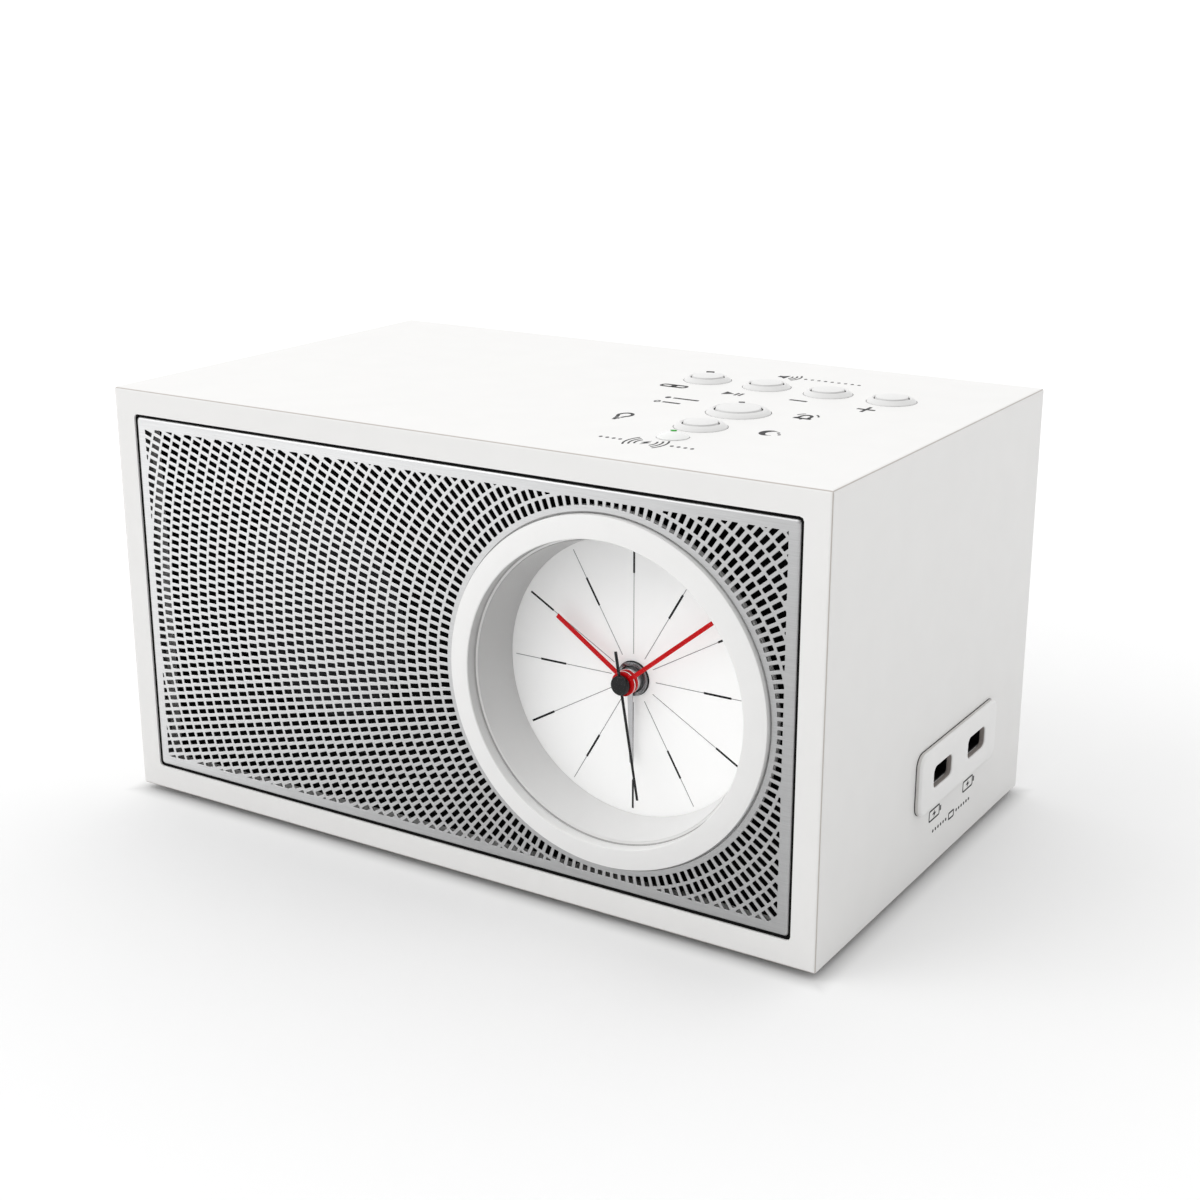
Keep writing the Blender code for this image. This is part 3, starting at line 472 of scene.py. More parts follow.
def brushed(name, colour, roughness, spread):
    """Sheet metal brushed from side to side: long fine scratches under an even sheen."""
    made, position = start_material(name, colour, roughness, 1.0, Anisotropic=0.5)
    scratches = pattern(made, position, (60, 60, 1), 0.14, 4)
    shade_by(made, scratches, colour, spread)
    roughen_by(made, scratches, roughness - 0.08, roughness + 0.1)
    emboss_by(made, scratches, 0.006)
    return made


def rings(name, colour, groove, middle, pitch, roughness, metallic, depth, axis="Y"):
    """A material with fine rings round an axis: a turned face, or the turns of a winding."""
    made, position = start_material(name, colour, roughness, metallic)
    tree = made.node_tree
    shift = node(tree, VECTOR_MATHS, {0: position, 1: TO_ROW @ Vector(middle)}, "SUBTRACT")
    inputs = {"Vector": shift.outputs["Vector"], "Scale": TURN / 20 / (pitch * MM), "Distortion": 0.3}
    wave = node(tree, "ShaderNodeTexWave", inputs)
    wave.wave_type = "RINGS"
    wave.rings_direction = axis
    feed(made, "Base Color", ramp_of(tree, wave.outputs["Fac"], groove, colour))
    emboss_by(made, wave.outputs["Fac"], depth)
    return made


def painted_light_ramp(material, start, end, low, high):
    """Scales the colour by a share that runs from low at the start to high at the end: a painted gradient of
    light and shade.
    """
    tree = material.node_tree
    start, end = TO_ROW @ Vector(start), TO_ROW @ Vector(end)
    along = (end - start) / (end - start).length_squared
    shift = node(tree, VECTOR_MATHS, {0: position_in(tree), 1: start}, "SUBTRACT")
    reach = node(tree, VECTOR_MATHS, {0: shift.outputs["Vector"], 1: along}, "DOT_PRODUCT")
    scale_paint(material, span_of(tree, reach.outputs["Value"], low, high, smooth=True))


def painted_edge_shade(material, width, colour):
    """Darkens the paint along the cabinet's edges, where two of its faces are nearer than the width: painted
    shade along the edges.
    """
    tree = material.node_tree
    split = node(tree, "ShaderNodeSeparateXYZ", {"Vector": position_in(tree)})
    total = 0.0
    for axis in range(3):
        shift = node(tree, MATHS, {0: split.outputs[axis], 1: SHELL_MIDDLE[axis]}, "SUBTRACT")
        away = node(tree, MATHS, {0: shift.outputs["Value"]}, "ABSOLUTE")
        start, end = (SHELL_HALF[axis] - share * width * MM for share in (1.25, 0.75))
        near = span_of(tree, away.outputs["Value"], 0.0, 1.0, start, end)
        total = node(tree, MATHS, {0: total, 1: near}).outputs["Value"]
    both = span_of(tree, total, 0.0, 1.0, 1.0, 2.0)
    inputs = {"Fac": both, "Color1": paint_of(material), "Color2": (*colour, 1)}
    feed(material, "Base Color", node(tree, "ShaderNodeMixRGB", inputs).outputs["Color"])


def circuit(name, board, copper):
    """A circuit board: lacquer over copper tracks that show as paler lines."""
    made, position = start_material(name, board, 0.35)
    tree = made.node_tree
    mapping = node(tree, "ShaderNodeMapping", {"Vector": position, "Scale": [1 / (3 * MM)] * 3})
    inputs = {"Vector": mapping.outputs["Vector"], "Scale": 1.0}
    tracks = node(tree, "ShaderNodeTexVoronoi", inputs)
    tracks.distance = "CHEBYCHEV"
    tracks.feature = "F2"
    lines = ramp_of(tree, tracks.outputs["Distance"], board, copper, 0.0, 0.62, "CONSTANT")
    feed(made, "Base Color", lines)
    emboss_by(made, lines, 0.03)
    return made


def clear_lens(name):
    """Thin clear plastic: see-through, with a reflection that grows towards its edge."""
    made, position = start_material(name, (1.0, 1.0, 1.0), 0.04, 1.0)
    roughen_by(made, pattern(made, position, EVEN, 8), 0.02, 0.06)
    tree = made.node_tree
    clear = tree.nodes.new("ShaderNodeBsdfTransparent").outputs["BSDF"]
    facing = tree.nodes.new("ShaderNodeLayerWeight").outputs["Facing"]
    steep = node(tree, MATHS, {0: facing, 1: 4.0}, "POWER")
    share = span_of(tree, steep.outputs["Value"], 0.0005, 0.25)
    gloss = tree.nodes["Principled BSDF"].outputs["BSDF"]
    mix = node(tree, "ShaderNodeMixShader", {"Fac": share, 1: clear, 2: gloss})
    tree.links.new(mix.outputs["Shader"], tree.nodes["Material Output"].inputs["Surface"])
    return made


def glowing(name, colour, strength):
    """A lit window: an even glow from a faintly cloudy colour."""
    glow = {"Emission_Color": (*colour, 1), "Emission_Strength": strength}
    made, position = start_material(name, colour, 0.3, **glow)
    shade_by(made, pattern(made, position, EVEN, 0.4), colour, 0.15)
    return made


WHITE_PAINT = textured("white_paint", (0.78, 0.775, 0.765), 0.42, 0.008, 0.35, 0.004)
# Painted shade: a warm grey line along the cabinet's edges.
painted_edge_shade(WHITE_PAINT, 0.36, (0.44, 0.40, 0.37))
WHITE_PLASTIC = textured("white_plastic", (0.80, 0.797, 0.79), 0.34, 0.008, 0.25, 0.002)
WHITE_CAP = textured("white_cap", (0.70, 0.698, 0.692), 0.3, 0.008, 0.2, 0.0015)
WELL_SHADED_PAINT = textured("well_painted_shade", (0.80, 0.80, 0.795), 0.4, 0.008, 0.3, 0.002)
# Painted shade: the well's wall darker at the upper left, where the rim shades it.
painted_light_ramp(WELL_SHADED_PAINT, (20, 0, 100), (60, 0, 20), 0.55, 1.0)
# Painted light: the dial paper glows faintly, and is darker towards the upper left, where the rim's shadow
# falls.
DIAL_PAPER = textured("dial_paper_painted_light", (0.97, 0.97, 0.965), 0.6, 0.006, 0.12, 0.002, Emission_Strength=0.05)
painted_light_ramp(DIAL_PAPER, (22, 0, 98), (56, 0, 58), 0.84, 1.0)
ALUMINIUM = brushed("brushed_aluminium_painted_sheen", (0.74, 0.743, 0.746), 0.38, 0.08)
# Painted reflection and shade: the grille's metal darker towards the lower right.
painted_light_ramp(ALUMINIUM, (-50, 0, 118), (70, 0, 12), 1.0, 0.6)
BLACK_CLOTH = textured("black_cloth", (0.004, 0.004, 0.004), 0.95, 0.3, 0.3, 0.05, Specular_IOR_Level=0.1)
# Painted shadow: black put in gaps and under the USB panel, where shade falls.
SHADOW_BLACK = textured("painted_shadow_black", (0.004, 0.004, 0.004), 0.95, 0.3, 0.2, 0.02, Specular_IOR_Level=0.1)
GREY_INK = textured("grey_ink", (0.2, 0.2, 0.205), 0.5, 0.05, 0.1, 0.001)
BLACK_INK = textured("black_ink", (0.008, 0.008, 0.009), 0.5, 0.1, 0.1, 0.001, Specular_IOR_Level=0.2)
BLACK_HAND = textured("black_hand", (0.008, 0.008, 0.009), 0.35, 0.1, 0.15, 0.001, Specular_IOR_Level=0.25)
RED_HAND = textured("red_hand", (0.54, 0.0015, 0.004), 0.35, 0.05, 0.15, 0.001, Specular_IOR_Level=0.15)
SILVER_HAND = brushed("silver_hand", (0.5, 0.5, 0.51), 0.3, 0.05)
LENS_CLEAR = clear_lens("clear_lens")
LENS_EDGE_SHADE = textured("lens_edge_shade_grey", (0.4, 0.395, 0.39), 0.6, 0.05, 0.2, 0.004)
# Painted shade: a grey band on the USB panel's side.
PANEL_EDGE_SHADE = textured("panel_edge_shade_grey", (0.62, 0.605, 0.59), 0.5, 0.02, 0.25, 0.004)
# Painted shade: the grey-brown of the narrow port mouths.
PORT_MOUTH_SHADE = textured("port_mouth_shade_grey", (0.36, 0.32, 0.30), 0.5, 0.03, 0.25, 0.004)
HUB_MIDDLE = (CLOCK[0], 0, CLOCK[1])
HUB_METAL = rings("turned_steel", (0.3, 0.3, 0.31), (0.1, 0.1, 0.1), HUB_MIDDLE, 0.25, 0.25, 1.0, 0.01)
RIM_SILVER = textured("bright_rim", (0.86, 0.86, 0.87), 0.18, 0.03, 0.2, 0.001, metallic=1.0)
STEEL = textured("steel", (0.45, 0.45, 0.46), 0.3, 0.08, 0.4, 0.004, metallic=1.0)
DARK_STEEL = textured("dark_steel", (0.02, 0.02, 0.021), 0.5, 0.1, 0.3, 0.004, metallic=1.0)
BRASS = textured("brass", (0.66, 0.44, 0.16), 0.28, 0.06, 0.3, 0.004, metallic=1.0)
GOLD = textured("gold_contact", (0.8, 0.55, 0.2), 0.2, 0.05, 0.2, 0.002, metallic=1.0)
GREY_PLASTIC = textured("grey_plastic", (0.2, 0.2, 0.205), 0.5, 0.04, 0.2, 0.008)
BLACK_PLASTIC = textured("black_plastic", (0.012, 0.012, 0.013), 0.45, 0.15, 0.15, 0.008)
RUBBER = textured("rubber", (0.02, 0.02, 0.021), 0.85, 0.2, 0.2, 0.02)
PAPER_CONE = textured("cone_paper", (0.02, 0.02, 0.023), 0.9, 0.25, 0.5, 0.04)
FERRITE = textured("ferrite", (0.05, 0.05, 0.053), 0.55, 0.15, 0.3, 0.02)
MILKY = textured("milky_window", (0.78, 0.785, 0.775), 0.25, 0.01, 0.3, 0.001)
LED_GREEN = glowing("led_green", (0.0, 0.3, 0.0), 0.2)
BOARD = circuit("circuit_board", (0.012, 0.13, 0.04), (0.03, 0.24, 0.08))
MOTOR_COPPER = textured("motor_winding", (0.62, 0.24, 0.1), 0.35, 0.1, 0.12, 0.03, (0.5, 8, 8), 1.0)
COIL_MIDDLE = (-56, 74, 0)
COIL_GROOVE = (0.2, 0.07, 0.03)
COIL_COPPER = rings("coil_winding", (0.7, 0.3, 0.13), COIL_GROOVE, COIL_MIDDLE, 0.8, 0.35, 1.0, 0.15, "Z")


# CAD parts that keep their own shape


DRESSED = {
    WHITE_PAINT: ["cabinet_shell", "rear_panel"],
    BLACK_CLOTH: ["front_baffle"],
    DIAL_PAPER: ["clock_dial"],
    BRASS: [
        *[f"{name}_wheel" for name in ("minute", "hour", "third", "motion", "alarm")],
        "movement_mid_plate",
    ],
    STEEL: ["second_wheel", *[f"rear_screw_{number}" for number in range(1, 5)]],
    GREY_PLASTIC: ["movement_front_case", "movement_rear_case", "time_set_knob", "alarm_set_knob"],
    MOTOR_COPPER: ["movement_coil"],
    COIL_COPPER: ["charging_coil"],
    FERRITE: ["charging_plate", "speaker_magnet"],
    BOARD: ["button_board", "usb_board", "main_board"],
    BLACK_PLASTIC: ["speaker_basket", "dc_jack"],
    PAPER_CONE: ["speaker_cone", "speaker_dust_cap"],
    RUBBER: ["speaker_surround"],
}


def dress_frame():
    for material, names in DRESSED.items():
        for name in names:
            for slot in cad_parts[name].material_slots:
                slot.material = material


# The grille


def slot_outline(radius, angle):
    """A slot with cut corners, its length pointing at the clock."""
    half_length, half_width, corner = SLOT_LENGTH / 2, SLOT_WIDTH / 2, SLOT_CORNER
    along, across = (math.cos(angle), math.sin(angle)), (-math.sin(angle), math.cos(angle))
    points = []
    for sx, sy in [(1, 1), (-1, 1), (-1, -1), (1, -1)]:
        cuts = [(half_length, half_width - corner), (half_length - corner, half_width)]
        for a, b in cuts if sx * sy > 0 else reversed(cuts):
            a, b = radius + sx * a, sy * b
            points.append((CLOCK[0] + a * along[0] + b * across[0], CLOCK[1] + a * along[1] + b * across[1]))
    return points


def clipped(outline, axis, limit, side):
    """The part of a convex outline on one side of a line across an axis."""
    kept = []
    for here, after in zip(outline, outline[1:] + outline[:1]):
        a, b = side * (here[axis] - limit), side * (after[axis] - limit)
        if a <= 0:
            kept.append(here)
        if a * b < 0:
            kept.append(tuple(p + (q - p) * a / (a - b) for p, q in zip(here, after)))
    return kept


def inside_field(outline):
    """The slot cut off at the grille's plain border, or None where too little of it is left."""
    half = WIDTH / 2 - FIELD_INSET
    limits = [(0, half, 1), (0, -half, -1), (1, HEIGHT - FIELD_INSET, 1), (1, FIELD_INSET, -1)]
    for axis, limit, side in limits:
        outline = clipped(outline, axis, limit, side)
    spaced = [p for p, q in zip(outline, outline[1:] + outline[:1]) if math.dist(p, q) > 2 * SLOT_EASE]
    return spaced if len(spaced) > 2 and area(spaced) > SMALLEST_SLOT else None


def area(outline):
    return sum(p[0] * q[1] - q[0] * p[1] for p, q in zip(outline, outline[1:] + outline[:1])) / 2


def grown(outline, amount):
    """A convex outline, drawn counterclockwise, with its edges moved outwards."""
    made = []
    count = len(outline)
    for i in range(count):
        here = Vector(outline[i])
        first = (here - Vector(outline[i - 1])).normalized()
        second = (Vector(outline[(i + 1) % count]) - here).normalized()
        out_first, out_second = Vector((first.y, -first.x)), Vector((second.y, -second.x))
        push = (out_first + out_second) / max(1 + out_first.dot(out_second), 0.6)
        made.append(tuple(here + push * amount))
    return made


def grille_slots():
    """All the slots: rings of them round the clock, each ring turned a little against the last."""
    outlines = []
    for ring in range(RING_COUNT):
        radius = FIRST_RING + ring * RING_PITCH
        count = round(TURN * radius / SLOT_PITCH)
        for slot in range(count):
            angle = TURN / 2 + TURN * (slot + SLOT_STAGGER * ring) / count
            outline = inside_field(slot_outline(radius, angle))
            if outline:
                outlines.append(outline)
    return outlines


def grille():
    """A folded tray of brushed sheet with a rolled edge, the clock's hole and the slots."""
    width, height = WIDTH - 2 * TRAY_INSET, HEIGHT - 2 * TRAY_INSET
    middle = (0.0, HEIGHT / 2)

    def tray_loop(inset, depth):
        corner = max(TRAY_CORNER - inset, 0.2)
        return at_depth(rounded_rectangle(width - 2 * inset, height - 2 * inset, corner, middle), depth)

    def bend(radius, angle):
        return tray_loop(FOLD_RADIUS - radius * math.sin(angle), FOLD_RADIUS - radius * math.cos(angle))

    fold = [bend(FOLD_RADIUS, angle) for angle in QUARTER]
    fold += [tray_loop(0, FOLD_DEPTH), tray_loop(SHEET, FOLD_DEPTH)]
    fold += [bend(FOLD_RADIUS - SHEET, angle) for angle in reversed(QUARTER)]

    edges = [fold]
    holes = [(circle(CLOCK_HOLE, CLOCK, 192), 0.15)] + [(slot, SLOT_EASE) for slot in grille_slots()]
    for outline, ease in holes:
        edges.append([at_depth(grown(outline, ease), 0), at_depth(outline, ease), at_depth(outline, SHEET)])
    piece("grille_sheet", plate(*edges), front_frame(0, 0), ALUMINIUM, replaces=["grille"])


def grille_gap_shadow_strip():
    """A black strip in the gap between the grille and the front frame: painted shadow in the gap."""
    middle = (0.0, HEIGHT / 2)
    sides = ((FRAME_WIDTH + 0.02, 1.2), (TRAY_INSET - 0.03, 0.9))
    outer, inner = (
        rounded_rectangle(WIDTH - 2 * inset, HEIGHT - 2 * inset, corner, middle) for inset, corner in sides
    )
    shape = slab(outer, 0.55, FOLD_DEPTH, inner)
    piece("grille_gap_shadow", shape, front_frame(0, 0), SHADOW_BLACK)


# The clock


def bezel():
    """The ring, which rises to its lip. The lip's inner wall and the tapered wall of the well have
    skins of their own, which carry painted shade, and a thin grey ring round the lens paints the dark line
    of shade at its edge."""
    place = front_frame(*CLOCK)
    well_end = DIAL_FACE - 0.1
    profile = [
        (LIP_RADIUS, -BEZEL_PROUD),
        (BEZEL_RADIUS, -BEZEL_EDGE),
        (BEZEL_RADIUS, 1.3),
        (FLANGE_RADIUS, 1.3),
        (FLANGE_RADIUS, 2.5),
        (46.0, 2.5),
        (46.0, 10.0),
        (43.3, 10.0),
        (43.3, well_end),
        (WELL_FOOT + 0.2, well_end),
        (WELL_TOP + 0.2, LEDGE),
        (LIP_RADIUS, LEDGE),
    ]
    ring = lathe(eased(profile, 0.3), BEZEL_STEPS)
    piece("bezel_ring", ring, place, WHITE_PLASTIC, replaces=["clock_bezel"])
    wall = [
        (WELL_TOP, LEDGE + 0.1),
        (WELL_TOP + 0.15, LEDGE + 0.2),
        (WELL_FOOT + 0.15, well_end),
        (WELL_FOOT, well_end),
    ]
    lip = [(42.27, -2.1), (42.4, -2.0), (42.4, 1.15), (42.27, 1.15)]
    skins = joined(lathe(wall, BEZEL_STEPS), lathe(lip, BEZEL_STEPS))
    piece("bezel_well", skins, place, WELL_SHADED_PAINT)
    # Painted shade: a grey ring that draws the dark line at the lens's edge.
    shadow_line = lathe([(42.26, 0.75), (42.26, 1.18), (42.0, 1.18), (42.12, 0.75)], BEZEL_STEPS)
    piece("lens_edge_shade", shadow_line, place, LENS_EDGE_SHADE)


def lens():
    disc = lathe(eased([(0, -0.3), (42.1, -0.3), (42.1, 1.1), (0, 1.1)], 0.2))
    piece("lens_disc", disc, front_frame(*CLOCK), LENS_CLEAR, replaces=["clock_lens"])


def blade_outline(start, end, start_width, end_width):
    """A blade pointing at twelve, drawn counterclockwise."""
    return [(-start_width / 2, start), (start_width / 2, start), (end_width / 2, end), (-end_width / 2, end)]


def dial_bar(inner, outer, width, degrees):
    """A straight mark along a radius of the dial."""
    outline = turned_clockwise(blade_outline(inner, outer, width, width), degrees)
    return slab(outline, DIAL_FACE - INK, DIAL_FACE)


def dial_print():
    """Twelve hair lines, each with a bold dash: at the rim on even hours and further in on odd ones."""
    hair, bold = [], []
    for hour in range(12):
        start, end = INNER_DASH if hour % 2 else OUTER_DASH
        degrees = 30 * hour
        hair.append(dial_bar(HAIR_START, start, HAIR_WIDTH, degrees))
        if hour % 2:
            hair.append(dial_bar(end, PRINT_RADIUS, HAIR_WIDTH, degrees))
        bold.append(dial_bar(start, end, DASH_WIDTH, degrees))
    place = front_frame(*CLOCK)
    piece("dial_hair_lines", joined(*hair), place, GREY_INK)
    piece("dial_dashes", joined(*bold), place, BLACK_INK)


def hand(name, body, material, degrees, blade, depths, hub, bore=0.0):
    """A clock hand: a flat blade joined to a turned hub. Depths are the blade's front and back, and
    hub is its radius, front and back."""
    place = front_frame(*CLOCK)
    radius, front, back = hub
    if bore:
        profile = [(radius, front), (radius, back), (bore, back), (bore, front)]
    else:
        profile = [(0, front), (radius, front), (radius, back), (0, back)]
    hub_shape = lathe(eased(profile, 0.25), SMALL_STEPS)
    obj = piece(f"{name}_fine", hub_shape, place, material, body, [name])
    outline = turned_clockwise(blade, degrees)
    inner = grown(outline, -HAND_EDGE)
    edge = [
        at_depth(inner, depths[0]),
        at_depth(outline, depths[0] + HAND_EDGE),
        at_depth(outline, depths[1] - HAND_EDGE),
        at_depth(inner, depths[1]),
    ]
    united(obj, plate(edge), place)


def hands():
    """The four hands, a bright rim behind each red hub, the nut that they come out of, and a black ring
    round its foot that paints its shadow on the dial.
    """
    alarm, hour = blade_outline(2.9, 23.7, 1.6, 0.9), blade_outline(2.6, 26.5, 1.3, 1.3)
    minute, second = blade_outline(2.3, 34.3, 1.2, 1.2), blade_outline(-9.3, 32.3, 0.8, 0.6)
    hubs = [(3.3, 12.6, 13.7), (RIM_RADIUS, 10.8, 12.1), (RIM_RADIUS, 9.2, 10.3), (2.7, 7.6, 8.8)]
    hand("alarm_hand", "alarm_pointer", SILVER_HAND, ALARM_ANGLE, alarm, (13.0, 13.4), hubs[0], 2.5)
    hand("hour_hand", "hour", RED_HAND, HOUR_ANGLE, hour, (11.2, 11.6), hubs[1], 1.9)
    hand("minute_hand", "minute", RED_HAND, MINUTE_ANGLE, minute, (9.45, 9.85), hubs[2], 1.2)
    hand("second_hand", "second", BLACK_HAND, SECOND_ANGLE, second, (8.1, 8.5), hubs[3])
    place = front_frame(*CLOCK)
    outer, inner = RIM_RADIUS + 0.03, RIM_RADIUS - 0.1
    for body, back in (("minute", 10.3), ("hour", 12.1)):
        edge = [(outer, back - 0.28), (outer, back - 0.02), (inner, back), (inner, back - 0.3)]
        rim = [(RIM_RADIUS, back - 0.3)] + edge
        piece(f"{body}_hub_rim", lathe(rim, SMALL_STEPS), place, RIM_SILVER, body)
    nut = eased([(4.7, 13.9), (4.7, DIAL_FACE - 0.1), (3.6, DIAL_FACE - 0.1), (3.6, 13.9)], 0.2)
    piece("nut_ring", lathe(nut, SMALL_STEPS), place, HUB_METAL, replaces=["dial_nut"])
    # Painted shadow: a thin black ring on the dial round the nut.
    front = DIAL_FACE - 0.12
    nut_shadow = lathe([(4.9, front), (4.9, DIAL_FACE), (4.6, DIAL_FACE), (4.6, front)], SMALL_STEPS)
    piece("nut_shadow_ring", nut_shadow, place, BLACK_HAND)


# The buttons and the lamp


def sleeve(inner, outer, low, high):
    """A thin tube."""
    return lathe([(outer, high), (outer, low), (inner, low), (inner, high)])


def gap_shade_tube(radius):
    """A black tube in the thin gap round a ring or the lamp, just under the cabinet's top: painted shade in
    the gap.
    """
    return sleeve(radius + 0.01, radius + 0.14, -1.5, -0.02)


def domed(shape, dome):
    """The flat shape laid on a dome, whose height is a function of the distance from its middle."""
    points, faces = shape
    return [(u, v, w + dome(math.hypot(u, v))) for u, v, w in points], faces


def cap_dome(share):
    """The cap's height at a share of its radius."""
    return CAP_TOP - CAP_DROP * share**2.4


def lamp_dome(reach):
    """The lamp's height at a distance from its middle."""
    return LAMP_TOP - LAMP_DROP * (reach / LAMP_RADIUS) ** 2.2


def button(name, x, y, ring, cap):
    """A shallow cone of a ring with a domed cap in it, a gap apart that black tubes darken as painted shade.
    """
    bore = cap + CAP_SLACK
    place = top_frame(x, y)
    ring_profile = [
        (bore + 0.5, RING_TOP),
        (ring - 0.9, 0.8),
        (ring, 0.1),
        (ring, FLANGE_TOP),
        (ring + FLANGE, FLANGE_TOP),
        (ring + FLANGE, FLANGE_TOP - 1.1),
        (bore, FLANGE_TOP - 1.1),
        (bore, RING_TOP - 0.3),
    ]
    ring_shape = lathe(eased(ring_profile, 0.6, 5))
    piece(f"{name}_ring_fine", ring_shape, place, WHITE_CAP, replaces=[f"{name}_ring"])
    # Painted shade: black tubes darken the gaps round the cap and the ring.
    shade_tubes = joined(sleeve(bore - 0.04, bore + 0.02, -1.0, RING_TOP - 0.5), gap_shade_tube(ring))
    piece(f"{name}_liner", shade_tubes, place, SHADOW_BLACK)
    skirt = FLANGE_TOP - 1.4
    shares = (0, 0.15, 0.3, 0.45, 0.6, 0.75, 0.87, 0.94)
    cap_profile = [(cap * share, cap_dome(share)) for share in shares] + [
        (cap, CAP_TOP - 1.25),
        (cap, skirt),
        (cap + 0.8, skirt),
        (cap + 0.8, skirt - 0.8),
        (2.0, skirt - 0.8),
        (2.0, CAP_FOOT),
        (0, CAP_FOOT),
    ]
    body = f"{name}_key"
    piece(f"{name}_cap", lathe(cap_profile), place, WHITE_CAP, body, [f"{name}_button"])


def button_marks():
    """A dash on the pairing ring and a shorter one on the alarm ring, at the far side of the cap."""
    marks = [(BUTTONS[0], 2.5, BLACK_INK), (BUTTONS[4], 1.8, GREY_INK)]
    across, along = math.cos(FAR_SIDE), math.sin(FAR_SIDE)
    for (name, x, y, _, cap), length, ink in marks:
        flat = rounded_rectangle(length, 0.5, 0.2, (0, cap + CAP_SLACK + 0.8))
        section = [(u * across - v * along, u * along + v * across) for u, v in flat]
        mark = slab(section, RING_TOP - 0.6, RING_TOP + 0.22)
        piece(f"{name}_ring_dash", mark, top_frame(x, y), ink)


def lamp():
    """The lamp's low dome, with its green light a little behind the crown."""
    shares = (0, 0.15, 0.3, 0.45, 0.6, 0.75, 0.87, 0.95, 1)
    dome = [(LAMP_RADIUS * share, lamp_dome(LAMP_RADIUS * share)) for share in shares]
    skirt = [
        (LAMP_RADIUS, FLANGE_TOP),
        (LAMP_RADIUS + FLANGE, FLANGE_TOP),
        (LAMP_RADIUS + FLANGE, FLANGE_TOP - 1.1),
        (0, FLANGE_TOP - 1.1),
    ]
    place = top_frame(*LAMP)
    piece("lamp_dome", lathe(dome + skirt), place, MILKY, replaces=["charge_lamp"])
    light = slab(circle(0.85, (-0.4, 1.1), 24), -0.12, 0.3)
    piece("lamp_light", domed(light, lamp_dome), place, LED_GREEN)
    piece("lamp_liner", gap_shade_tube(LAMP_RADIUS), place, SHADOW_BLACK)


# Printed marks


def stroke(points, width):
    """A pen line through the points, as an outline."""
    left, right = [], []
    for i, point in enumerate(points):
        here = Vector(point)
        before = (here - Vector(points[i - 1])).normalized() if i else None
        after = (Vector(points[i + 1]) - here).normalized() if i < len(points) - 1 else None
        before, after = before or after, after or before
        middle = (before + after).normalized()
        side = Vector((-middle.y, middle.x)) * width / 2 / max(middle.dot(before), 0.5)
        left.append(tuple(here + side))
        right.append(tuple(here - side))
    return right + left[::-1]


def arc(radius, centre, start, end, sides=16):
    """Points along an arc, with its angles in degrees."""
    angles = [math.radians(start + (end - start) * i / sides) for i in range(sides + 1)]
    return [(centre[0] + radius * math.cos(a), centre[1] + radius * math.sin(a)) for a in angles]


def printed(outline, *holes):
    """A mark that stands as high as its ink."""
    return slab(outline, -0.01, INK, *holes)


def dots(places, radius=DOT, sides=16):
    return [printed(circle(radius, place, sides)) for place in places]


def pen(points, width=PEN):
    return printed(stroke(points, width))


def capsule_mark(width, height, centre):
    """A round-ended outline."""
    outer, inner = (
        rounded_rectangle(width + line, height + line, (height + line) / 2 - 0.01, centre)
        for line in (PEN, -PEN)
    )
    return printed(outer, inner)


def moved(shape, du, dv, stretch=1.0):
    """The shape drawn out along its second axis, then moved."""
    points, faces = shape
    return [(p[0] + du, p[1] * stretch + dv, p[2]) for p in points], faces


def link_mark():
    """Two links of a chain."""
    return joined(capsule_mark(4.6, 2.1, (-1.8, 0)), capsule_mark(4.6, 2.1, (1.8, 0)))


def play_mark():
    bars = [pen([(x, -1.3), (x, 1.3)], 0.75) for x in (1.1, 2.5)]
    return joined(printed([(-3.0, -1.6), (0.2, 0), (-3.0, 1.6)]), *bars)


def minus_mark():
    return pen([(-2.7, 0), (2.7, 0)])


def plus_mark():
    a, b = PEN / 2, 2.7
    arms = [(-a, -b), (a, -b), (a, -a), (b, -a), (b, a), (a, a)]
    return printed(arms + [(-u, -v) for u, v in arms])


def bell_mark():
    body = [(-2.2, -1.3), (-1.5, -0.7)] + arc(1.5, (0, 0.5), 180, 0) + [(1.5, -0.7), (2.2, -1.3)]
    return joined(
        pen(body),
        pen([(-2.6, -1.4), (2.6, -1.4)]),
        printed(circle(0.45, (0, -2.1), 20)),
        pen(arc(3.4, (0, 0.2), 60, 20), THIN_PEN),
        pen(arc(3.4, (0, 0.2), 120, 160), THIN_PEN),
    )


def moon_mark():
    outer = arc(2.4, (0, 0), 60, 300, 24)
    inner = arc(1.9, (1.35, 0), 290, 70, 24)
    return joined(printed(outer + inner), *dots([(2.4, 1.0), (3.5, -0.4)], 0.45))


def bulb_mark():
    glass = arc(1.9, (0, 0.6), -50, 230, 28)
    bulb = [(glass[-1][0] + 0.5, -2.1)] + glass[::-1] + [(glass[0][0] - 0.5, -2.1)]
    return joined(pen(bulb), pen([(-0.9, -2.9), (0.9, -2.9)]), pen([(-0.5, -3.9), (0.5, -3.9)]))


def charge_mark():
    """A lightning bolt between the waves of a charging coil."""
    bolt = printed([(0.5, 1.8), (-1.3, -0.3), (-0.15, -0.3), (-0.5, -1.8), (1.3, 0.3), (0.15, 0.3)])
    waves = [pen(arc(r, (0, 0), a - 38, a + 38), THIN_PEN) for r in (2.8, 4.2, 5.6) for a in (0, 180)]
    places = [(side * u, 0) for side in (-1, 1) for u in (7.8, 9.8, 11.8, 13.8)]
    return joined(bolt, *waves, *dots(places))


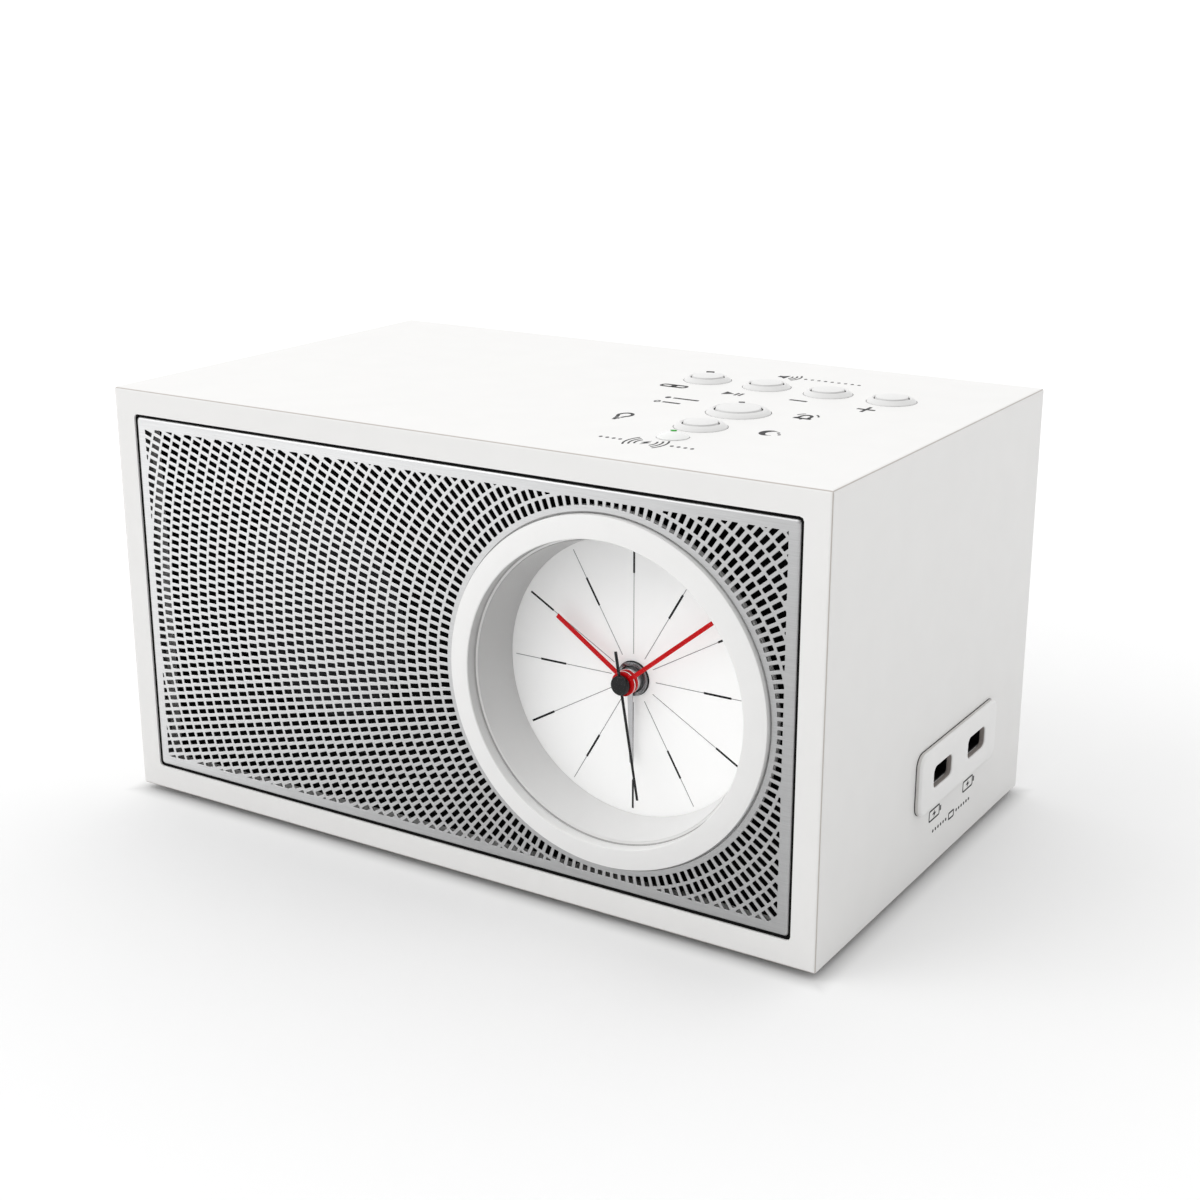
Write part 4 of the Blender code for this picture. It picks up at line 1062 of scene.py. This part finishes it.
def state_marks():
    """A filled and an open dot, each with a bar: charging on, charging off."""
    lit = printed(circle(0.85, (-4.4, 2.4), 28))
    unlit = printed(*[circle(radius, (-4.4, -2.4), 40) for radius in (0.975, 0.525)])
    return joined(lit, unlit, pen([(-2.6, 2.4), (5.6, 2.4)]), pen([(-2.6, -2.4), (3.0, -2.4)]))


def speaker_mark():
    """A loudspeaker with its waves, and a row of dots."""
    horn = printed([(-3.4, -0.7), (-2.2, -0.7), (-0.6, -1.9), (-0.6, 1.9), (-2.2, 0.7), (-3.4, 0.7)])
    waves = [pen(arc(r, (-0.9, 0), -42, 42), THIN_PEN) for r in (1.8, 3.1, 4.4)]
    return joined(horn, *waves, *dots([(5.6 + 2.2 * i, 0) for i in range(9)]))


def battery_mark():
    outer, inner = rounded_rectangle(7.8, 3.6, 0.7), rounded_rectangle(6.8, 2.6, 0.3)
    nub = printed(rounded_rectangle(0.8, 1.6, 0.2, (4.6, 0)))
    bolt = printed([(0.4, 1.0), (-1.4, -0.15), (-0.2, -0.15), (-0.4, -1.0), (1.4, 0.15), (0.2, 0.15)])
    return joined(printed(outer, inner), nub, bolt)


def phone_mark():
    outer, inner = rounded_rectangle(4.2, 2.4, 0.5), rounded_rectangle(3.2, 1.4, 0.15)
    places = [(side * (4.0 + 1.9 * i), 0) for side in (-1, 1) for i in range(6)]
    return joined(printed(outer, inner), *dots(places))


def top_marks():
    """The pictograms beside the buttons."""
    placed = [
        (link_mark(), 23.0, 89.0),
        (play_mark(), 43.5, 88.0),
        (minus_mark(), 63.9, 89.2),
        (plus_mark(), 85.5, 88.2),
        (bell_mark(), 75.5, 70.0),
        (moon_mark(), 76.0, 47.0),
        (charge_mark(), 54.3, 20.0),
        (bulb_mark(), 32.0, 45.6),
        (state_marks(), 34.3, 70.5),
        (speaker_mark(), 46.0, 119.0),
    ]
    shapes = [moved(shape, x, y, TOP_STRETCH) for shape, x, y in placed]
    piece("top_marks", joined(*shapes), top_frame(0, 0), BLACK_INK)


def side_marks():
    """The pictograms under the USB panel."""
    placed = [
        (battery_mark(), 75.4, 16.4),
        (battery_mark(), 100.6, 16.4),
        (phone_mark(), PANEL_MIDDLE[0], 11.0),
    ]
    shapes = [moved(shape, y, z) for shape, y, z in placed]
    piece("side_marks", joined(*shapes), side_frame(0, 0), BLACK_INK)


# The USB panel and its sockets


def rolled_edge(loop_at, radius, out, foot):
    """Loops over a rounded edge, from the face at height out, down to the height foot. Loop_at gives
    the loop for a distance in from the plate's side."""
    loops = []
    for angle in QUARTER:
        inset, drop = radius * (1 - math.sin(angle)), radius * (1 - math.cos(angle))
        loops.append(at_depth(loop_at(inset), out - drop))
    return loops + [at_depth(loop_at(0), foot)]


def usb_panel():
    """The raised panel: a rounded edge all round, and a rounded mouth to each port. Grey skins on its
    side and in the ports are painted shade, and a dark band under it is a painted contact shadow."""

    def outline(inset):
        width, height = PANEL_SIZE[0] - 2 * inset, PANEL_SIZE[1] - 2 * inset
        return rounded_rectangle(width, height, PANEL_CORNER - inset, sides=10)

    mouth_shades = []
    edges = [rolled_edge(outline, 0.9, PANEL_PROUD, PANEL_FOOT)]
    for side in (-1, 1):
        def mouth(inset, side=side):
            width, height = PORT_SIZE[0] + 2 * inset, PORT_SIZE[1] + 2 * inset
            return rounded_rectangle(width, height, PORT_CORNER + inset, (side * PORT_SPACING / 2, 0), 8)

        edges.append(rolled_edge(mouth, 0.35, PANEL_PROUD, PANEL_FOOT))
        mouth_shades.append(slab(mouth(0.05), PANEL_FOOT, PANEL_PROUD - 0.4, mouth(-0.03)))
    place = side_frame(*PANEL_MIDDLE)
    piece("usb_plate", plate(*edges), place, WHITE_PLASTIC, replaces=["usb_panel"])
    piece("usb_port_shades", joined(*mouth_shades), place, PORT_MOUTH_SHADE)
    edge_shade_band = slab(outline(-0.02), PANEL_FOOT, PANEL_PROUD - 0.8, outline(0.06))
    piece("usb_plate_edge_shade", edge_shade_band, place, PANEL_EDGE_SHADE)
    shadow_line = slab(outline(-0.16), 0.0, PANEL_FOOT + 0.08, outline(0.5))
    piece("usb_plate_contact_shadow", shadow_line, place, SHADOW_BLACK)


def usb_sockets():
    """A metal shell, a black tongue and four gold contacts in each port."""
    front, back = (-depth for depth in SOCKET_DEPTHS)
    for number, side in enumerate((-1, 1), 1):
        place = side_frame(PANEL_MIDDLE[0] + side * PORT_SPACING / 2, PANEL_MIDDLE[1])
        outer = rounded_rectangle(*SOCKET_SIZE, 0.5)
        inner = rounded_rectangle(SOCKET_SIZE[0] - 0.7, SOCKET_SIZE[1] - 0.7, 0.2)
        shell = slab(outer, back + 1, front, inner)
        socket = [f"usb_socket_{number}"]
        metal = piece(f"usb_shell_{number}", shell, place, DARK_STEEL, replaces=socket)
        united(metal, slab(outer, back, back + 1.5), place)
        tongue = rounded_rectangle(11.0, 1.7, 0.25, (0, 1.05))
        bar_shape = slab(tongue, back + 1.6, front - 3.1)
        piece(f"usb_tongue_{number}", bar_shape, place, BLACK_PLASTIC)
        sections = [rounded_rectangle(1.0, 0.12, 0.05, (u, 0.15)) for u in (-3.5, -1.2, 1.2, 3.5)]
        pins = [slab(section, back + 2, front - 3.8) for section in sections]
        piece(f"usb_contacts_{number}", joined(*pins), place, GOLD)


# Feet


def feet():
    """Four rubber pads, each with a stem up into the cabinet."""
    profile = eased([(0, 3.0), (2.0, 3.0), (2.0, -0.1), (7.0, -0.1), (6.8, -2.0), (0, -2.0)], 0.4)
    places = [(x, y) for x in (-95, 95) for y in (20, 124)]
    for number, (x, y) in enumerate(places, 1):
        pad, place = lathe(profile, SMALL_STEPS), Matrix.Translation((x, y, 0))
        piece(f"foot_pad_{number}", pad, place, RUBBER, replaces=[f"foot_{number}"])


# The room


def under_box(tree, position):
    """A share of the colour that drops a little, close to the cabinet's outline: a painted contact shadow.
    """
    shift = node(tree, VECTOR_MATHS, {0: position, 1: SHELL_MIDDLE}, "SUBTRACT")
    away = node(tree, VECTOR_MATHS, {0: shift.outputs["Vector"]}, "ABSOLUTE")
    footprint = (SHELL_HALF.x, SHELL_HALF.y, 0)
    beyond = node(tree, VECTOR_MATHS, {0: away.outputs["Vector"], 1: footprint}, "SUBTRACT")
    split = node(tree, "ShaderNodeSeparateXYZ", {"Vector": beyond.outputs["Vector"]})
    far = node(tree, MATHS, {0: split.outputs["X"], 1: split.outputs["Y"]}, "MAXIMUM")
    start, end = -SHADE_REACH / 4 * MM, SHADE_REACH * MM
    return span_of(tree, far.outputs["Value"], SHADE_SHARE, 1.0, start, end, smooth=True)


def floor_paper():
    """Pale paper, whiter away from the object and shaded close to it, with a faint tooth: the whiter reach
    is painted light and the shade is a painted shadow.
    """
    made, position = start_material("floor_paper", FLOOR_NEAR, 0.9)
    tree = made.node_tree
    reach = node(tree, VECTOR_MATHS, {0: position}, "LENGTH").outputs["Value"]
    feed(made, "Base Color", ramp_of(tree, reach, FLOOR_NEAR, FLOOR_FAR, 0.15, 0.6, "EASE"))
    scale_paint(made, under_box(tree, position))
    emboss_by(made, pattern(made, position, EVEN, 1.5), 0.001)
    return made


def in_scene(name, data, location):
    """An object with this data, put in the scene at a place in metres."""
    obj = bpy.data.objects.new(name, data)
    obj.location = location
    bpy.context.scene.collection.objects.link(obj)
    return obj


def floor():
    """A square of pale paper, so wide that its edge is at the horizon."""
    mesh = bpy.data.meshes.new("floor")
    corners = [(x * FLOOR_REACH, y * FLOOR_REACH, 0) for x, y in ((-1, -1), (1, -1), (1, 1), (-1, 1))]
    mesh.from_pydata(corners, [], [(0, 1, 2, 3)])
    obj = in_scene("floor", mesh, (0, 0, 0))
    obj.data.materials.append(floor_paper())


def direction(azimuth, elevation):
    """The way out from the object at these angles, in degrees, with azimuth 0 straight in front."""
    a, e = math.radians(azimuth), math.radians(elevation)
    return Vector((math.sin(a) * math.cos(e), -math.cos(a) * math.cos(e), math.sin(e)))


def faced(obj, back):
    """Turns a light or a camera so that it looks against this direction."""
    obj.rotation_mode = "QUATERNION"
    obj.rotation_quaternion = (-back).to_track_quat("-Z", "Y")


def key_light():
    """A square soft light from the front left."""
    data = bpy.data.lights.new("key", "AREA")
    data.shape = "SQUARE"
    data.size = KEY_SIZE
    data.energy = KEY_POWER
    back = direction(KEY_AZIMUTH, KEY_ELEVATION)
    faced(in_scene("key", data, back * KEY_DISTANCE), back)


def studio_world():
    """A white surround, brightest overhead, with a soft darker patch to the front right."""
    world = bpy.data.worlds.new("studio")
    world.use_nodes = True
    tree = world.node_tree
    way = tree.nodes.new("ShaderNodeTexCoord").outputs["Generated"]
    lean = node(tree, VECTOR_MATHS, {0: way, 1: SKY_LEAN}, "DOT_PRODUCT")
    strength = node(tree, MATHS, {0: lean.outputs["Value"], 1: SKY_STRENGTH})
    dark_side = Vector(SKY_DARK_SIDE).normalized()
    towards = node(tree, VECTOR_MATHS, {0: way, 1: dark_side}, "DOT_PRODUCT")
    dark = span_of(tree, towards.outputs["Value"], 0.0, SKY_DARK_DEPTH, 0.55, 0.95, smooth=True)
    total = node(tree, MATHS, {0: strength.outputs["Value"], 1: dark}, "SUBTRACT")
    background = tree.nodes["Background"]
    background.inputs["Color"].default_value = (1, 1, 1, 1)
    tree.links.new(total.outputs["Value"], background.inputs["Strength"])
    bpy.context.scene.world = world


def camera():
    data = bpy.data.cameras.new("camera")
    data.sensor_width = SENSOR_WIDTH
    data.lens = CAMERA_LENS
    obj = in_scene("camera", data, TO_ROW @ Vector(CAMERA_PLACE))
    faced(obj, direction(CAMERA_AZIMUTH, CAMERA_ELEVATION))
    bpy.context.scene.camera = obj


dress_frame()
grille()
grille_gap_shadow_strip()
bezel()
lens()
dial_print()
hands()
for values in BUTTONS:
    button(*values)
button_marks()
lamp()
top_marks()
usb_panel()
usb_sockets()
side_marks()
feet()
floor()
studio_world()
key_light()
camera()
bpy.context.scene.view_settings.view_transform = "Standard"

bpy.context.view_layer.update()
